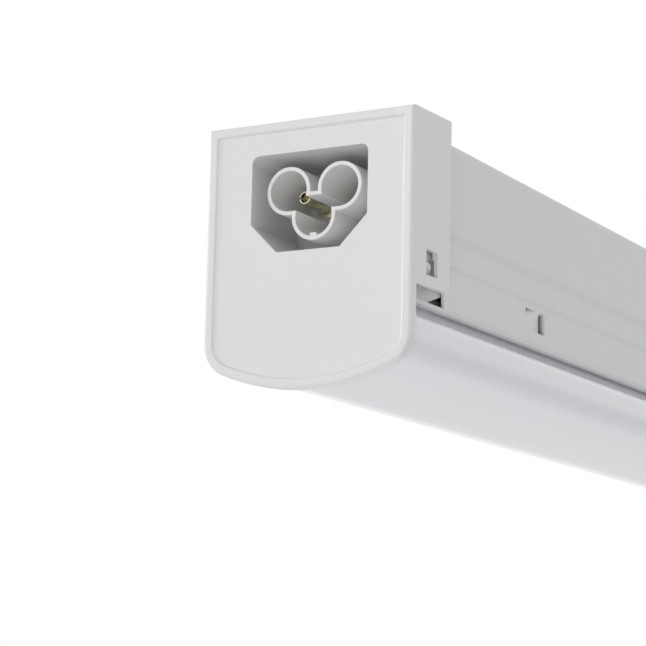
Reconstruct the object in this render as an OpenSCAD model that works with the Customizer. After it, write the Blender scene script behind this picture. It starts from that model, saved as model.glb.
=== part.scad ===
// Linkable LED strip light: a folded steel channel with an opal diffuser below it and a moulded
// cap on each end. Each cap holds a three-pole link socket in a chamfered recess.
//
// Frame: +Y runs along the fixture, +X across it and +Z up. The origin lies on the outer face of
// the channel's back, in the middle of its ceiling slots.
// The near end is the -Y end. Its cap holds contact sleeves, and the far cap holds pins.
// Depths marked "below the cap's top" are measured downwards from the top edge of the end caps.

/* [Fixture] */
// Overall length over both end caps
fixture_len = 1200; // [900:10:1500]
// Running clearance between pieces that slide apart
fit_gap = 0.3; // [0.2:0.05:0.4]

/* [End cap] */
// Width of the cap's face
cap_w = 60; // [59.5:0.1:62]
// Height of the cap's face
cap_h = 70; // [68.5:0.1:73]
// Height of the cap's top above the channel's back
cap_rise = 4.3; // [3.6:0.1:5]
// Thickness of the face plate
face_t = 3; // [2.6:0.1:3.6]
// Radius of the arc along the cap's bottom edge
arc_r = 65; // [58:0.5:75]
// Radius that blends the sides into the bottom arc
blend_r = 9; // [7:0.5:11]
// Rounding of the face's outer edge
edge_r = 1; // [0.6:0.1:1.4]
// Width of the raised border
rim_w = 2.6; // [2:0.1:3.2]
// Height of the border over the panel
rim_h = 0.7; // [0.4:0.1:1]
// Reach of the skirt behind the face
skirt_reach = 19.5; // [18.6:0.1:22]
// Height of the skirt's sides below the cap's top
skirt_drop = 45; // [44:0.1:46]
// Thickness of the skirt's top wall
skirt_t = 1.8; // [1.4:0.1:2.2]
// Outward draft of each skirt side over its reach
skirt_draft = 0.9; // [0.7:0.1:1.2]
// Thickness of the inner walls and ribs
rib_t = 1.3; // [1:0.1:1.5]
// Reach of the plug walls behind the face
plug_reach = 23.6; // [22:0.1:24]
// Front edge of the snap window behind the face
window_y = 7.5; // [7:0.1:8]
// Length of the snap window
window_len = 5.7; // [5.4:0.1:6.5]
// Height of the snap window
window_h = 6.5; // [5.5:0.1:7]
// Centre of the snap window below the cap's top
window_drop = 38.8; // [38:0.1:40]

/* [Channel] */
// Thickness of the steel sheet
sheet_t = 0.8; // [0.6:0.05:0.9]
// Inset of the channel's sides from the cap's sides
channel_in = 1.1; // [1:0.05:1.3]
// Height of the channel
channel_h = 44.5; // [44:0.1:45.5]
// Outer bend radius between the back and the sides
bend_r = 1.5; // [1.2:0.1:2.5]
// Upper joggle: distance below the back
joggle_drop = 23.7; // [23:0.1:25]
// Upper joggle: inward step
joggle_in = 0.6; // [0.3:0.1:0.8]
// Upper joggle: height that the step takes
joggle_run = 2.2; // [1.5:0.1:2.5]
// Lower joggle: distance below the upper one
joggle_pitch = 8.3; // [7.5:0.1:8.6]
// Lower joggle: inward step
joggle2_in = 0.3; // [0.2:0.1:0.4]
// Width of the flange turned in along each bottom edge
flange_w = 3; // [2.6:0.1:3.2]
// Length of the notch at each end of the sides, behind the face
notch_end = 22.2; // [20:0.1:24]
// Height of the notch
notch_h = 4; // [3.2:0.1:4.5]
// Number of lances along each side
lance_count = 4; // [2:1:6]
// Start of the first lance behind the face
lance_start = 72; // [66:1:90]
// Length of a lance, with its slit
lance_len = 12.7; // [11:0.1:14]
// Height of a lance
lance_h = 6; // [5:0.1:6.4]
// Inward depth of a lance at its slit
lance_in = 1.8; // [1.5:0.1:2]
// Width of the slit that a lance leaves open
lance_slit = 1.6; // [1:0.1:1.8]
// Lance top edge below the cap's top
lance_drop = 38.7; // [38.4:0.1:40]
// Radius of the snap dimples where they leave the wall
dimple_r = 1.85; // [1.6:0.05:2]
// Height of the snap dimples
dimple_h = 1.3; // [1.1:0.05:1.4]
// Ceiling slots: distance from each end of the fixture
slot_end = 150; // [140:5:250]
// Ceiling slots: width
slot_w = 5.2; // [4.5:0.1:6]
// Ceiling slots: end-to-end length
slot_len = 12; // [9:0.5:16]

/* [Diffuser] */
// Inset of the diffuser's outline from the cap's outline
diffuser_in = 1.9; // [1.5:0.1:2.4]
// Wall thickness of the diffuser
diffuser_t = 1.4; // [1.2:0.05:1.6]
// Gap between each end of the diffuser and the end cap
diffuser_gap = 1; // [0.8:0.1:1.6]
// Height of the open groove between channel and diffuser
groove_h = 2.7; // [2.2:0.1:3.2]
// Rounding of the diffuser's shoulders
shoulder_r = 2.2; // [1.8:0.1:2.6]
// Thickness of the legs that rise into the channel
leg_t = 1.2; // [1:0.05:1.4]
// Height that the legs reach above the channel's flanges
leg_rise = 3; // [2.4:0.1:3.6]
// Width of the snap bead along each leg
bead_w = 0.6; // [0.4:0.05:0.7]

/* [Link socket] */
// Width of the recess
recess_w = 34; // [33:0.1:35]
// Height of the recess
recess_h = 25.9; // [25.4:0.1:26.4]
// Top edge of the recess below the cap's top
recess_drop = 8.5; // [8.2:0.1:9]
// Size of the recess's lower corner chamfers
recess_cut = 7.8; // [7:0.1:8.4]
// Rounding of the recess's upper corners
recess_r = 2; // [1:0.1:3]
// Depth of the recess
recess_depth = 24; // [22:0.5:25]
// Setback of the shroud's rim behind the face
shroud_back = 3.25; // [2.5:0.05:4]
// Wall thickness of the three-lobed shroud
shroud_t = 1.1; // [0.9:0.05:1.3]
// Outer radius of each lobe
lobe_r = 6.4; // [6.2:0.05:6.6]
// Distance between the centres of the two upper lobes
lobe_pitch = 15; // [14.6:0.1:15.4]
// Centres of the upper lobes below the cap's top
lobe_drop = 17.9; // [17.6:0.1:18.2]
// Distance from the upper lobes' centres down to the lower lobe's centre
earth_drop = 7.1; // [6.8:0.1:7.4]
// Floor of the valley between the upper lobes, below their centres
valley_drop = 0.7; // [0.4:0.1:1.2]
// Thickness of the insert's base plate
insert_t = 2.5; // [2:0.1:3]
// Inner radius of the contact sleeves
sleeve_r = 1.7; // [1.65:0.01:1.75]
// Radius of the contact pins
pin_r = 1.6; // [1.5:0.01:1.64]
// Wall thickness of sleeves and crimp barrels
brass_t = 0.5; // [0.4:0.05:0.6]
// Length of the live sleeve in front of the base plate
sleeve_len = 12.5; // [11:0.5:14]
// Length of the two other sleeves in front of the base plate
short_sleeve_len = 8; // [7:0.5:11]
// Length of a pin in front of the base plate
pin_len = 16; // [14:0.5:18]
// Length of a crimp barrel behind the base plate
crimp_len = 9; // [8:0.5:10]
// Radius of the screw bosses beside the recess
boss_r = 3; // [2.6:0.1:3.2]

/* [Tray and boards] */
// Underside of the tray below the cap's top
tray_drop = 37; // [36.8:0.1:37.6]
// Gap between the tray's sides and the channel's walls
tray_gap = 0.2; // [0.15:0.05:0.3]
// Distance from each end of the fixture to the tray
tray_end = 32; // [30:1:40]
// Width of a board
board_w = 24; // [22:1:30]
// Thickness of a board
board_t = 1.2; // [1:0.1:1.6]
// Distance from each end of the tray to the boards
board_end = 8; // [6:1:20]
// Distance between neighbouring LEDs
led_pitch = 16; // [14:0.5:24]
// Length of an LED
led_len = 3.5; // [3:0.1:5]
// Width of an LED
led_w = 2.8; // [2.5:0.1:3.5]
// Height of an LED
led_h = 0.7; // [0.5:0.1:1]

/* [Driver] */
// Length of the driver's case
driver_len = 230; // [200:5:260]
// Height of the driver's case without its cover
driver_h = 24; // [22:0.5:25]
// Wall thickness of the case and the cover
case_t = 1.6; // [1.2:0.1:2]
// Thickness of the circuit board
pcb_t = 1.6; // [1.2:0.1:2]

/* [Wiring] */
// Outer radius of the mains wires
wire_r = 1.1; // [0.9:0.05:1.15]
// Outer radius of the low-voltage leads
lead_r = 0.8; // [0.6:0.05:0.85]
// Distance between wires that lie side by side
lane_pitch = 2.7; // [2.5:0.05:2.9]
// Distance from the tray's edge to the outer lane
lane_in = 3; // [2.6:0.1:3.4]

/* [Hidden] */

$fn = 48;
eps = 0.01;
arc_fn = 144;

// Cap outline: centres of the bottom arc and of the corner blends
arc_cz = arc_r - cap_h;
blend_cx = cap_w / 2 - blend_r;
blend_cz = arc_cz - sqrt(pow(arc_r - blend_r, 2) - pow(blend_cx, 2));

// Channel: half widths of its three steps, its length, its bottom edge below the cap's top, and
// the lower edge of the back's piece, just below the bends
channel_x0 = cap_w / 2 - channel_in;
channel_x1 = channel_x0 - joggle_in;
channel_x2 = channel_x1 - joggle2_in;
channel_len = fixture_len - 2 * (face_t + fit_gap);
channel_foot = channel_h + cap_rise;
fold_drop = bend_r + 0.5;
lance_pitch = (fixture_len - 2 * lance_start - lance_len) / (lance_count - 1);
flange_x = channel_x2 - flange_w;

// Diffuser: its length, the top of its shoulders below the cap's top, and its legs
diffuser_len = fixture_len - 2 * (face_t + diffuser_gap);
shoulder_drop = channel_foot + groove_h;
leg_x = flange_x - fit_gap - bead_w;
leg_drop = channel_foot - sheet_t - leg_rise;
bead_h = 1.6;
floor_half = blend_cx - 0.6;
floor_drop = sqrt(pow(arc_r - diffuser_in - diffuser_t, 2) - pow(floor_half, 2)) - arc_cz;

// Cap: inner face of the skirt, and outer face of the plug walls
skirt_x = channel_x0 + fit_gap - 0.05;
plug_x = channel_x2 - sheet_t - fit_gap - 0.1;
plug_top = cap_rise + sheet_t + 1.4;
plug_foot = channel_foot - sheet_t - 0.5;
ear_x = plug_x - rib_t + 0.1 - boss_r;
pilot_r = 1.45;
pilot_depth = 10.5;
slant_y = 15;
slant_h = 3;
stop_reach = 5;
stop_h = 8;
dimple_y = window_y + 4.1;
dimple_drop = window_drop + 0.6;
dimple_sphere_r = (pow(dimple_r, 2) + pow(dimple_h, 2)) / (2 * dimple_h);

// Socket: back of the insert, middle of the recess, and the contacts' necks and collars
insert_back = recess_depth + insert_t;
recess_mid = recess_drop + recess_h / 2;
earth_z = lobe_drop + earth_drop;
neck_r = sleeve_r + 0.2;
collar_r = 3;
collar_t = 0.8;

// Tray and boards, below the cap's top
web_drop = tray_drop - sheet_t;
tray_x = channel_x2 - sheet_t - tray_gap;
tray_foot = channel_foot - sheet_t - 0.4;
tray_len = fixture_len - 2 * tray_end;
board_gap = 1;
board_len = (tray_len - 2 * board_end - board_gap) / 2;
board_drop = tray_drop + board_t;
led_count = floor((board_len - led_pitch) / led_pitch);
rivet_x = board_w / 2 - 3.5;
rivet_end = 12;
rivet_pitch = (board_len - 2 * rivet_end) / 3;
rivet_r = 2.4;
rivet_hole_r = 1.6;

// Wiring lanes, and the width that they leave for the driver's case
lane_x = tray_x - lane_in;
driver_w = 2 * (lane(2) - wire_r - 1.5);

// Driver: inner face of the channel's back, the board's underside and the terminals
back_z = -sheet_t;
pcb_z = back_z - driver_h + 4;
ear_len = 12;
ear_w = 16;
ear_t = 2;
terminal_z = pcb_z + pcb_t + 6;
terminal_h = 11;
terminal_d = 12;
pole_pitch = 5;
hole_r = 1.4;
hole_depth = 7;
wire_in = 6.5;
input_w = 4 * pole_pitch + 1;
output_w = 2 * pole_pitch + 1;
terminal_y = driver_len / 2 + 1;

// Screws: radius, head, and the gap at a tapped hole and at a passage
screw_r = 1.35;
head_r = 2.7;
head_h = 1.8;
thread_gap = 0.1;
pass_gap = 0.25;

// Wiring: ends of the crimp barrels, heights of the lanes, the earth point and the grommet
near_end = -fixture_len / 2;
crimp_end = insert_back + crimp_len;
wire_start = crimp_end - 4;
lane_z = back_z - wire_r - 1.5;
earth_y = -driver_len / 2 - 60;
earth_x = 13;
ring_t = 0.8;
ring_r = 4;
barrel_z = back_z - 2 * ring_t - 1.1;
barrel_r = wire_r + brass_t + 0.15;
barrel_len = 7;
grommet_x = (tray_x + board_w / 2) / 2;
grommet_r = 3.4;
grommet_neck = 2.6;
lead_gap = 1;
socket_y = board_gap / 2 + rivet_end + 1.5 * rivet_pitch;
grommet_y = socket_y - 12;
socket_x = 7.5;
socket_w = 8;
socket_h = 4;
socket_pitch = 4;
clip_w = 3 * lane_pitch + 0.4;

white = [0.9, 0.91, 0.92];
enamel = [0.93, 0.93, 0.93];
brass = [0.62, 0.58, 0.36];
zinc = [0.72, 0.73, 0.74];

// Placement helpers

// Lays a section drawn in X and Z flat profiles along +Y: (x, y, z) becomes (x, z, y)
module along_y() {
    mirror([0, 1, 0]) rotate([90, 0, 0]) children();
}

// Puts a cap's frame at the near end: y is the depth behind the face, z = 0 is the cap's top
module at_near() {
    translate([0, -fixture_len / 2, cap_rise]) children();
}

// The same frame at the far end, turned to face the other way
module at_far() {
    rotate([0, 0, 180]) at_near() children();
}

// Draws its children and their copy on the other side of the middle plane
module both_sides() {
    children();
    mirror([1, 0, 0]) children();
}

// The same for the two ends
module both_ends() {
    children();
    mirror([0, 1, 0]) children();
}

// A pan-head screw that points along -Z from the seat of its head, with a cross recess
module pan_screw(shank_len) {
    difference() {
        rotate_extrude() polygon([[0, -shank_len], [screw_r - 0.5, -shank_len], [screw_r, 0.6 - shank_len],
            [screw_r, 0], [head_r, 0], [head_r, head_h * 0.5], [head_r * 0.75, head_h], [0, head_h]]);
        for (a = [0, 90]) rotate([0, 0, a]) translate([-1.3, -0.3, head_h - 0.9]) cube([2.6, 0.6, 2]);
    }
}

// Swept wires

// One pass of corner cutting, which keeps both ends of a route
function soften(p) = concat([p[0]],
    [for (i = [1 : len(p) - 2]) each [0.75 * p[i] + 0.25 * p[i - 1], 0.75 * p[i] + 0.25 * p[i + 1]]],
    [p[len(p) - 1]]);
function unit(v) = v / norm(v);
function heading(p, i) = unit(p[min(i + 1, len(p) - 1)] - p[max(i - 1, 0)]);

// A round wire of radius r along route p. No stretch of the route may run along keep.
module wire(p, r, keep) {
    q = soften(soften(p));
    n = len(q);
    sides = 8;
    points = [for (i = [0 : n - 1]) let (t = heading(q, i), u = unit(cross(t, keep)), v = cross(t, u))
        for (k = [0 : sides - 1]) q[i] + r * (cos(360 * k / sides) * u + sin(360 * k / sides) * v)];
    walls = [for (i = [0 : n - 2], k = [0 : sides - 1])
        let (a = i * sides + k, b = i * sides + (k + 1) % sides)
        each [[a, a + sides, b], [b, a + sides, b + sides]]];
    first = [for (k = [0 : sides - 1]) k];
    last = [for (k = [sides - 1 : -1 : 0]) (n - 1) * sides + k];
    polyhedron(points, concat(walls, [first, last]));
}

// End cap

// Outline of the cap, drawn inwards by inset, with y = 0 at the cap's top
module cap_outline(inset = 0) {
    half = cap_w / 2 - inset;
    reach = 1.1 * arc_r / (arc_r - blend_r);
    translate([-half, blend_cz]) square([2 * half, -inset - blend_cz]);
    for (s = [-1, 1]) translate([s * blend_cx, blend_cz]) circle(r = blend_r - inset);
    intersection() {
        translate([0, arc_cz]) circle(r = arc_r - inset, $fn = arc_fn);
        polygon([[-blend_cx, blend_cz], [blend_cx, blend_cz],
            [blend_cx * reach, arc_cz + (blend_cz - arc_cz) * reach],
            [-blend_cx * reach, arc_cz + (blend_cz - arc_cz) * reach]]);
    }
}

// Outline of the recess, drawn outwards by grow
module recess_outline(grow = 0) {
    half = recess_w / 2 + grow;
    top = grow - recess_drop;
    foot = -recess_drop - recess_h - grow;
    slope = grow * tan(22.5);
    round = recess_r + grow;
    polygon([[-half, top - round], [round - half, top], [half - round, top], [half, top - round],
        [half, foot + recess_cut + grow - slope], [half - recess_cut - grow + slope, foot],
        [recess_cut + grow - slope - half, foot], [-half, foot + recess_cut + grow - slope]]);
    both_sides() translate([half - round, top - round]) circle(r = round);
}

// Outline of the three-lobed shroud, drawn inwards by inset
module lobe_outline(inset = 0) {
    both_sides() translate([lobe_pitch / 2, -lobe_drop]) circle(r = lobe_r - inset);
    translate([0, -earth_z]) circle(r = lobe_r - inset);
    translate([-lobe_pitch / 2, inset - lobe_drop - lobe_r])
        square([lobe_pitch, lobe_r - valley_drop - 2 * inset]);
}

// Face plate with a rounded outer edge, its panel sunk inside the border
module face_plate() {
    difference() {
        along_y() hull() {
            for (a = [0 : 22.5 : 90]) translate([0, 0, edge_r * (1 - sin(a))])
                linear_extrude(eps) cap_outline(edge_r * (1 - cos(a)));
            translate([0, 0, face_t - eps]) linear_extrude(eps) cap_outline();
        }
        translate([0, -1, 0]) along_y() linear_extrude(rim_h + 1) cap_outline(rim_w);
    }
}

// One side of the skirt, with its draft, its rounded rear corner, the snap window and the
// groove that lets the channel's dimple pass
module skirt_side() {
    corner_r = 2;
    front_x = cap_w / 2;
    back_x = front_x + skirt_draft;
    difference() {
        intersection() {
            translate([0, 0, -skirt_drop]) linear_extrude(skirt_drop) polygon([[skirt_x, edge_r],
                [front_x + skirt_draft * edge_r / skirt_reach, edge_r], [back_x, skirt_reach],
                [skirt_x, skirt_reach]]);
            rotate([0, 90, 0]) linear_extrude(cap_w) union() {
                square([skirt_drop - corner_r, skirt_reach]);
                square([skirt_drop, skirt_reach - corner_r]);
                translate([skirt_drop - corner_r, skirt_reach - corner_r]) circle(r = corner_r);
            }
        }
        translate([skirt_x - 1, window_y, -window_drop - window_h / 2])
            cube([skirt_draft + 5, window_len, window_h]);
        translate([skirt_x - 1, window_y, -dimple_drop - dimple_r - fit_gap])
            cube([1 + channel_x2 + dimple_h + fit_gap - skirt_x, skirt_reach, 2 * (dimple_r + fit_gap)]);
    }
}

// Top wall of the skirt, with ribs down to the channel's back
module skirt_top() {
    back_x = cap_w / 2 + skirt_draft;
    translate([0, 0, -skirt_t]) linear_extrude(skirt_t) polygon([
        [-cap_w / 2, edge_r], [cap_w / 2, edge_r], [back_x, skirt_reach], [-back_x, skirt_reach]]);
    for (x = [-21, -7, 7, 21]) translate([x - rib_t / 2, face_t - eps, fit_gap - cap_rise])
        cube([rib_t, skirt_reach - face_t + eps, cap_rise - fit_gap - eps]);
}

// One plug wall inside the channel, its lower edge rising to the back, with the screw boss of
// the insert, cut back where the pocket's wall reaches it, and the rib that ties them to the pocket
module plug_side() {
    inner_x = plug_x - rib_t;
    pocket_x = recess_w / 2 + rib_t;
    difference() {
        union() {
            translate([inner_x, 0, 0]) rotate([90, 0, 90]) linear_extrude(rib_t) polygon([
                [face_t, -plug_top], [plug_reach, -plug_top], [plug_reach, slant_h - plug_foot],
                [slant_y, -plug_foot], [face_t, -plug_foot]]);
            translate([pocket_x, face_t, -recess_mid - rib_t / 2])
                cube([inner_x + eps - pocket_x, plug_reach - face_t, rib_t]);
            difference() {
                translate([ear_x, face_t, -recess_mid]) along_y()
                    cylinder(r = boss_r, h = recess_depth - face_t);
                along_y() linear_extrude(recess_depth) recess_outline(rib_t);
            }
        }
        translate([ear_x, recess_depth - pilot_depth, -recess_mid]) along_y()
            cylinder(r = pilot_r, h = pilot_depth + 1);
    }
}

// Stop rib on the back of the face, just above the floor of the diffuser
module stop_rib() {
    half = floor_half - 2 * fit_gap;
    foot = fit_gap - floor_drop;
    translate([0, face_t, 0]) along_y() linear_extrude(stop_reach) difference() {
        translate([-half, foot]) square([2 * half, stop_h]);
        translate([rib_t - half, foot + rib_t]) square([2 * (half - rib_t), stop_h]);
    }
}

// What stands behind the face of an end cap: plug walls in the channel, stop rib in the diffuser
module cap_plug() {
    both_sides() plug_side();
    stop_rib();
}

// Shell of an end cap in the frame of at_near(): face, skirt and the pocket of the recess
module end_cap() {
    difference() {
        union() {
            face_plate();
            both_sides() skirt_side();
            skirt_top();
            translate([0, face_t - eps, 0]) along_y()
                linear_extrude(recess_depth - face_t + eps) recess_outline(rib_t);
        }
        translate([0, -1, 0]) along_y() linear_extrude(recess_depth + 2) recess_outline();
    }
}

// Link socket insert and contacts

// Base plate with screw ears, and the three-lobed shroud that stands forward from it
module insert(keyed) {
    ear_r = 3.6;
    key_w = 2;
    key_h = 0.9;
    difference() {
        union() {
            translate([0, recess_depth, 0]) along_y() linear_extrude(insert_t) union() {
                recess_outline(rib_t);
                translate([0, -recess_mid]) square([2 * ear_x, 2 * ear_r], center = true);
                both_sides() translate([ear_x, -recess_mid]) circle(r = ear_r);
            }
            translate([0, shroud_back, 0]) along_y() linear_extrude(recess_depth - shroud_back + eps)
                difference() {
                    lobe_outline();
                    lobe_outline(shroud_t);
                }
            if (keyed) translate([-key_w / 2, shroud_back, -earth_z - lobe_r + shroud_t / 2])
                cube([key_w, recess_depth - shroud_back, shroud_t / 2 + key_h]);
        }
        for (p = pole_places()) translate([p[0], recess_depth - 1, -p[1]])
            along_y() cylinder(r = neck_r + 0.1, h = insert_t + 2);
        both_sides() translate([ear_x, recess_depth - 1, -recess_mid])
            along_y() cylinder(r = screw_r + pass_gap, h = insert_t + 2);
    }
}

// The poles' places on the base plate: across, and below the cap's top
function pole_places() = [[-lobe_pitch / 2, lobe_drop], [lobe_pitch / 2, lobe_drop], [0, earth_z]];

// Rear of a contact, along +Z with its barrel's end at z = 0: barrel, neck and collar
module contact_tail() {
    bore_r = wire_r + 0.25;
    difference() {
        union() {
            cylinder(r = bore_r + brass_t, h = crimp_len);
            cylinder(r = neck_r, h = crimp_len + insert_t);
            translate([0, 0, crimp_len + insert_t]) cylinder(r = collar_r, h = collar_t);
        }
        translate([0, 0, -1]) cylinder(r = bore_r, h = 7);
        translate([-0.2, 0, 1.5]) cube([0.4, 4, 4]);
    }
}

// A contact sleeve: a folded tube with a flared mouth, split into two fingers
module contact_sleeve(reach) {
    outer_r = sleeve_r + brass_t;
    flare = 0.35;
    root = crimp_len + insert_t + collar_t;
    mouth = crimp_len + insert_t + reach;
    contact_tail();
    difference() {
        rotate_extrude() polygon([[0, root - eps], [outer_r, root - eps], [outer_r, mouth - 1.5],
            [outer_r + flare, mouth], [sleeve_r + flare, mouth], [sleeve_r, mouth - 1.5],
            [sleeve_r, root + 1], [0, root + 1]]);
        translate([-outer_r - 1, -0.3, root + 2]) cube([2 * outer_r + 2, 0.6, reach]);
    }
}

// A contact pin with a rounded tip
module contact_pin() {
    root = crimp_len + insert_t + collar_t;
    tip = crimp_len + insert_t + pin_len;
    contact_tail();
    translate([0, 0, root - eps]) cylinder(r = pin_r, h = tip - pin_r - root + eps);
    translate([0, 0, tip - pin_r]) sphere(r = pin_r);
}

// Puts a contact at a pole: its barrel's end faces away from the face
module at_pole(x, drop) {
    translate([x, crimp_end, -drop]) rotate([90, 0, 0]) children();
}

module insert_screws() {
    both_sides() translate([ear_x, insert_back, -recess_mid]) rotate([-90, 0, 0]) pan_screw(10);
}

// Channel

// Closed outline of the channel's outside, drawn inwards by inset
module channel_region(inset) {
    foot = -channel_h - 1;
    x0 = channel_x0 - inset;
    x1 = channel_x1 - inset;
    x2 = channel_x2 - inset;
    j1 = -joggle_drop;
    j2 = j1 - joggle_pitch;
    both_sides() polygon([[0, -inset], [channel_x0 - bend_r, -inset], [x0, -bend_r], [x0, j1],
        [x1, j1 - joggle_run], [x1, j2], [x2, j2 - joggle_run / 2], [x2, foot], [0, foot]]);
    for (s = [-1, 1]) translate([s * (channel_x0 - bend_r), -bend_r]) circle(r = bend_r - inset);
}

// The folded sheet without its flanges
module channel_section() {
    difference() {
        channel_region(0);
        channel_region(sheet_t);
        translate([-cap_w, -channel_h - cap_w]) square([2 * cap_w, cap_w + sheet_t]);
    }
}

// Start of lance i behind the near face
function lance_at(i) = lance_start + i * lance_pitch;

// A lance in the right-hand wall: a tongue pressed inwards up to an open slit, under a ceiling
module lance() {
    outer = channel_x2;
    inner = outer - sheet_t;
    run = lance_len - lance_slit;
    translate([0, 0, -lance_drop - lance_h]) {
        linear_extrude(lance_h)
            polygon([[outer, 0], [outer - lance_in, run], [inner - lance_in, run], [inner, 0]]);
        for (z = [0, lance_h - sheet_t]) translate([0, 0, z]) linear_extrude(sheet_t) polygon([
            [outer, 0], [inner + eps, lance_len], [inner, run], [inner - lance_in, run], [inner, 0]]);
    }
}

module ceiling_slot() {
    square([slot_w, slot_len - slot_w], center = true);
    for (s = [-1, 1]) translate([0, s * (slot_len - slot_w) / 2]) circle(r = slot_w / 2);
}

// The back with both bends, down to where the sides run straight
module channel_back() {
    flat_x = channel_x0 - bend_r;
    color(enamel) difference() {
        union() {
            translate([-flat_x, -channel_len / 2, -sheet_t]) cube([2 * flat_x, channel_len, sheet_t]);
            for (x = [flat_x - eps, -channel_x0]) translate([0, -channel_len / 2, 0]) along_y()
                linear_extrude(channel_len) intersection() {
                    channel_section();
                    translate([x, -fold_drop]) square([bend_r + eps, fold_drop]);
                }
        }
        for (y = [slot_end, fixture_len - slot_end]) translate([0, near_end + y, -1]) linear_extrude(2)
            ceiling_slot();
        for (s = [-1, 1]) translate([0, s * (driver_len + ear_len) / 2, -1])
            cylinder(r = screw_r + thread_gap, h = 2);
        translate([earth_x, earth_y, -1]) cylinder(r = screw_r + thread_gap, h = 2);
    }
}

// A snap dimple that stands on z = 0, with its root inside the sheet
module dimple() {
    root = sheet_t / 2;
    rotate_extrude() intersection() {
        translate([0, dimple_h - dimple_sphere_r]) circle(r = dimple_sphere_r);
        translate([0, -root]) square([dimple_r + 1, dimple_h + root + 1]);
    }
}

// The right-hand side below the bend, with its joggles, lances, snap dimples and end notches
module channel_side() {
    difference() {
        union() {
            difference() {
                translate([0, -channel_len / 2, 0]) along_y() linear_extrude(channel_len) intersection() {
                    channel_section();
                    translate([0, -channel_h]) square([cap_w, channel_h - fold_drop]);
                }
                translate([0, near_end, cap_rise]) for (i = [0 : lance_count - 1])
                    translate([channel_x2 - 2, lance_at(i), -lance_drop - lance_h])
                        cube([4, lance_len, lance_h]);
            }
            translate([0, near_end, cap_rise]) for (i = [0 : lance_count - 1])
                translate([0, lance_at(i), 0]) lance();
            for (s = [-1, 1]) translate([channel_x2, s * (near_end + dimple_y), cap_rise - dimple_drop])
                rotate([0, 90, 0]) dimple();
        }
        both_ends() at_near() translate([flange_x + 1, 0, sheet_t - channel_foot])
            cube([10, notch_end, notch_h]);
    }
}

// The flange turned in along the right-hand side's bottom edge
module channel_flange() {
    translate([flange_x, -channel_len / 2, -channel_h]) cube([flange_w, channel_len, sheet_t]);
}

module channel_left_side() color(enamel) mirror([1, 0, 0]) channel_side();
module channel_right_side() color(enamel) channel_side();
module channel_left_flange() color(enamel) mirror([1, 0, 0]) channel_flange();
module channel_right_flange() color(enamel) channel_flange();

// Tray, boards and LEDs

// The tray's flat web
module led_tray() {
    color(enamel) translate([0, 0, cap_rise]) difference() {
        translate([-tray_x, -tray_len / 2, -tray_drop]) cube([2 * tray_x, tray_len, sheet_t]);
        translate([grommet_x, grommet_y, -tray_drop - 1]) cylinder(r = grommet_neck, h = 3);
        at_rivets() translate([0, 0, -tray_drop - 1]) cylinder(r = rivet_hole_r, h = 3);
    }
}

// The tray's right-hand side, folded down from the web, with a window behind each lance
module tray_side() {
    window_gap = 0.5;
    translate([0, 0, cap_rise]) difference() {
        translate([tray_x - sheet_t, -tray_len / 2, -tray_foot])
            cube([sheet_t, tray_len, tray_foot - tray_drop]);
        for (i = [0 : lance_count - 1])
            translate([tray_x - 2, near_end + lance_at(i) - window_gap, -lance_drop - lance_h - window_gap])
                cube([4, lance_len + 2 * window_gap, lance_h + 2 * window_gap]);
    }
}

module tray_left_side() color(enamel) mirror([1, 0, 0]) tray_side();
module tray_right_side() color(enamel) tray_side();

// Copies its children to the rivets: near each board's ends and at its thirds, on both edges
module at_rivets() {
    for (s = [-1, 1], k = [0 : 3], x = [-rivet_x, rivet_x])
        translate([x, s * (board_gap / 2 + rivet_end + k * rivet_pitch), 0]) children();
}

module led_board(side) {
    color("white") difference() {
        translate([-board_w / 2, (side * (board_gap + board_len) - board_len) / 2, cap_rise - board_drop])
            cube([board_w, board_len, board_t]);
        at_rivets() translate([0, 0, cap_rise - board_drop - 1]) cylinder(r = rivet_hole_r, h = 4);
    }
}

// A row of LEDs under a board, each with its round lens window
module leds(side) {
    first = (board_len - (led_count - 1) * led_pitch) / 2 + board_gap / 2;
    color([0.96, 0.92, 0.6]) for (k = [0 : led_count - 1])
        translate([0, side * (first + k * led_pitch), cap_rise - board_drop - led_h]) difference() {
            translate([-led_w / 2, -led_len / 2, 0]) cube([led_w, led_len, led_h]);
            translate([0, 0, -1]) cylinder(r = led_w * 0.38, h = 1.15, $fn = 16);
        }
}

module board_rivets() {
    grip = sheet_t + board_t;
    head_t = 1;
    tail_t = 0.8;
    color(zinc) at_rivets() translate([0, 0, cap_rise - board_drop]) {
        translate([0, 0, -head_t]) cylinder(r = rivet_r, h = head_t, $fn = 24);
        translate([0, 0, -eps]) cylinder(r = rivet_hole_r - 0.1, h = grip + 2 * eps, $fn = 24);
        translate([0, 0, grip]) cylinder(r = rivet_r - 0.3, h = tail_t, $fn = 24);
    }
}

// Connector that joins the two boards across their gap
module board_jumper() {
    color("ivory") translate([3.2, -8, cap_rise - board_drop - 3]) difference() {
        cube([6.6, 16, 3]);
        for (x = [1, 3.9]) translate([x, 1.5, -1]) cube([1.7, 13, 1.8]);
    }
}

// Two-pole terminal on the far board, with its wire mouths towards +X
module board_terminal() {
    color("ivory") translate([socket_x - socket_w / 2, socket_y, cap_rise - board_drop - socket_h])
        difference() {
            translate([0, -4.5, 0]) cube([socket_w, 9, socket_h]);
            for (s = [-1, 1]) translate([socket_w - 4, s * socket_pitch / 2, socket_h / 2])
                rotate([0, 90, 0]) cylinder(r = lead_r + 0.2, h = 5, $fn = 24);
        }
}

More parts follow.
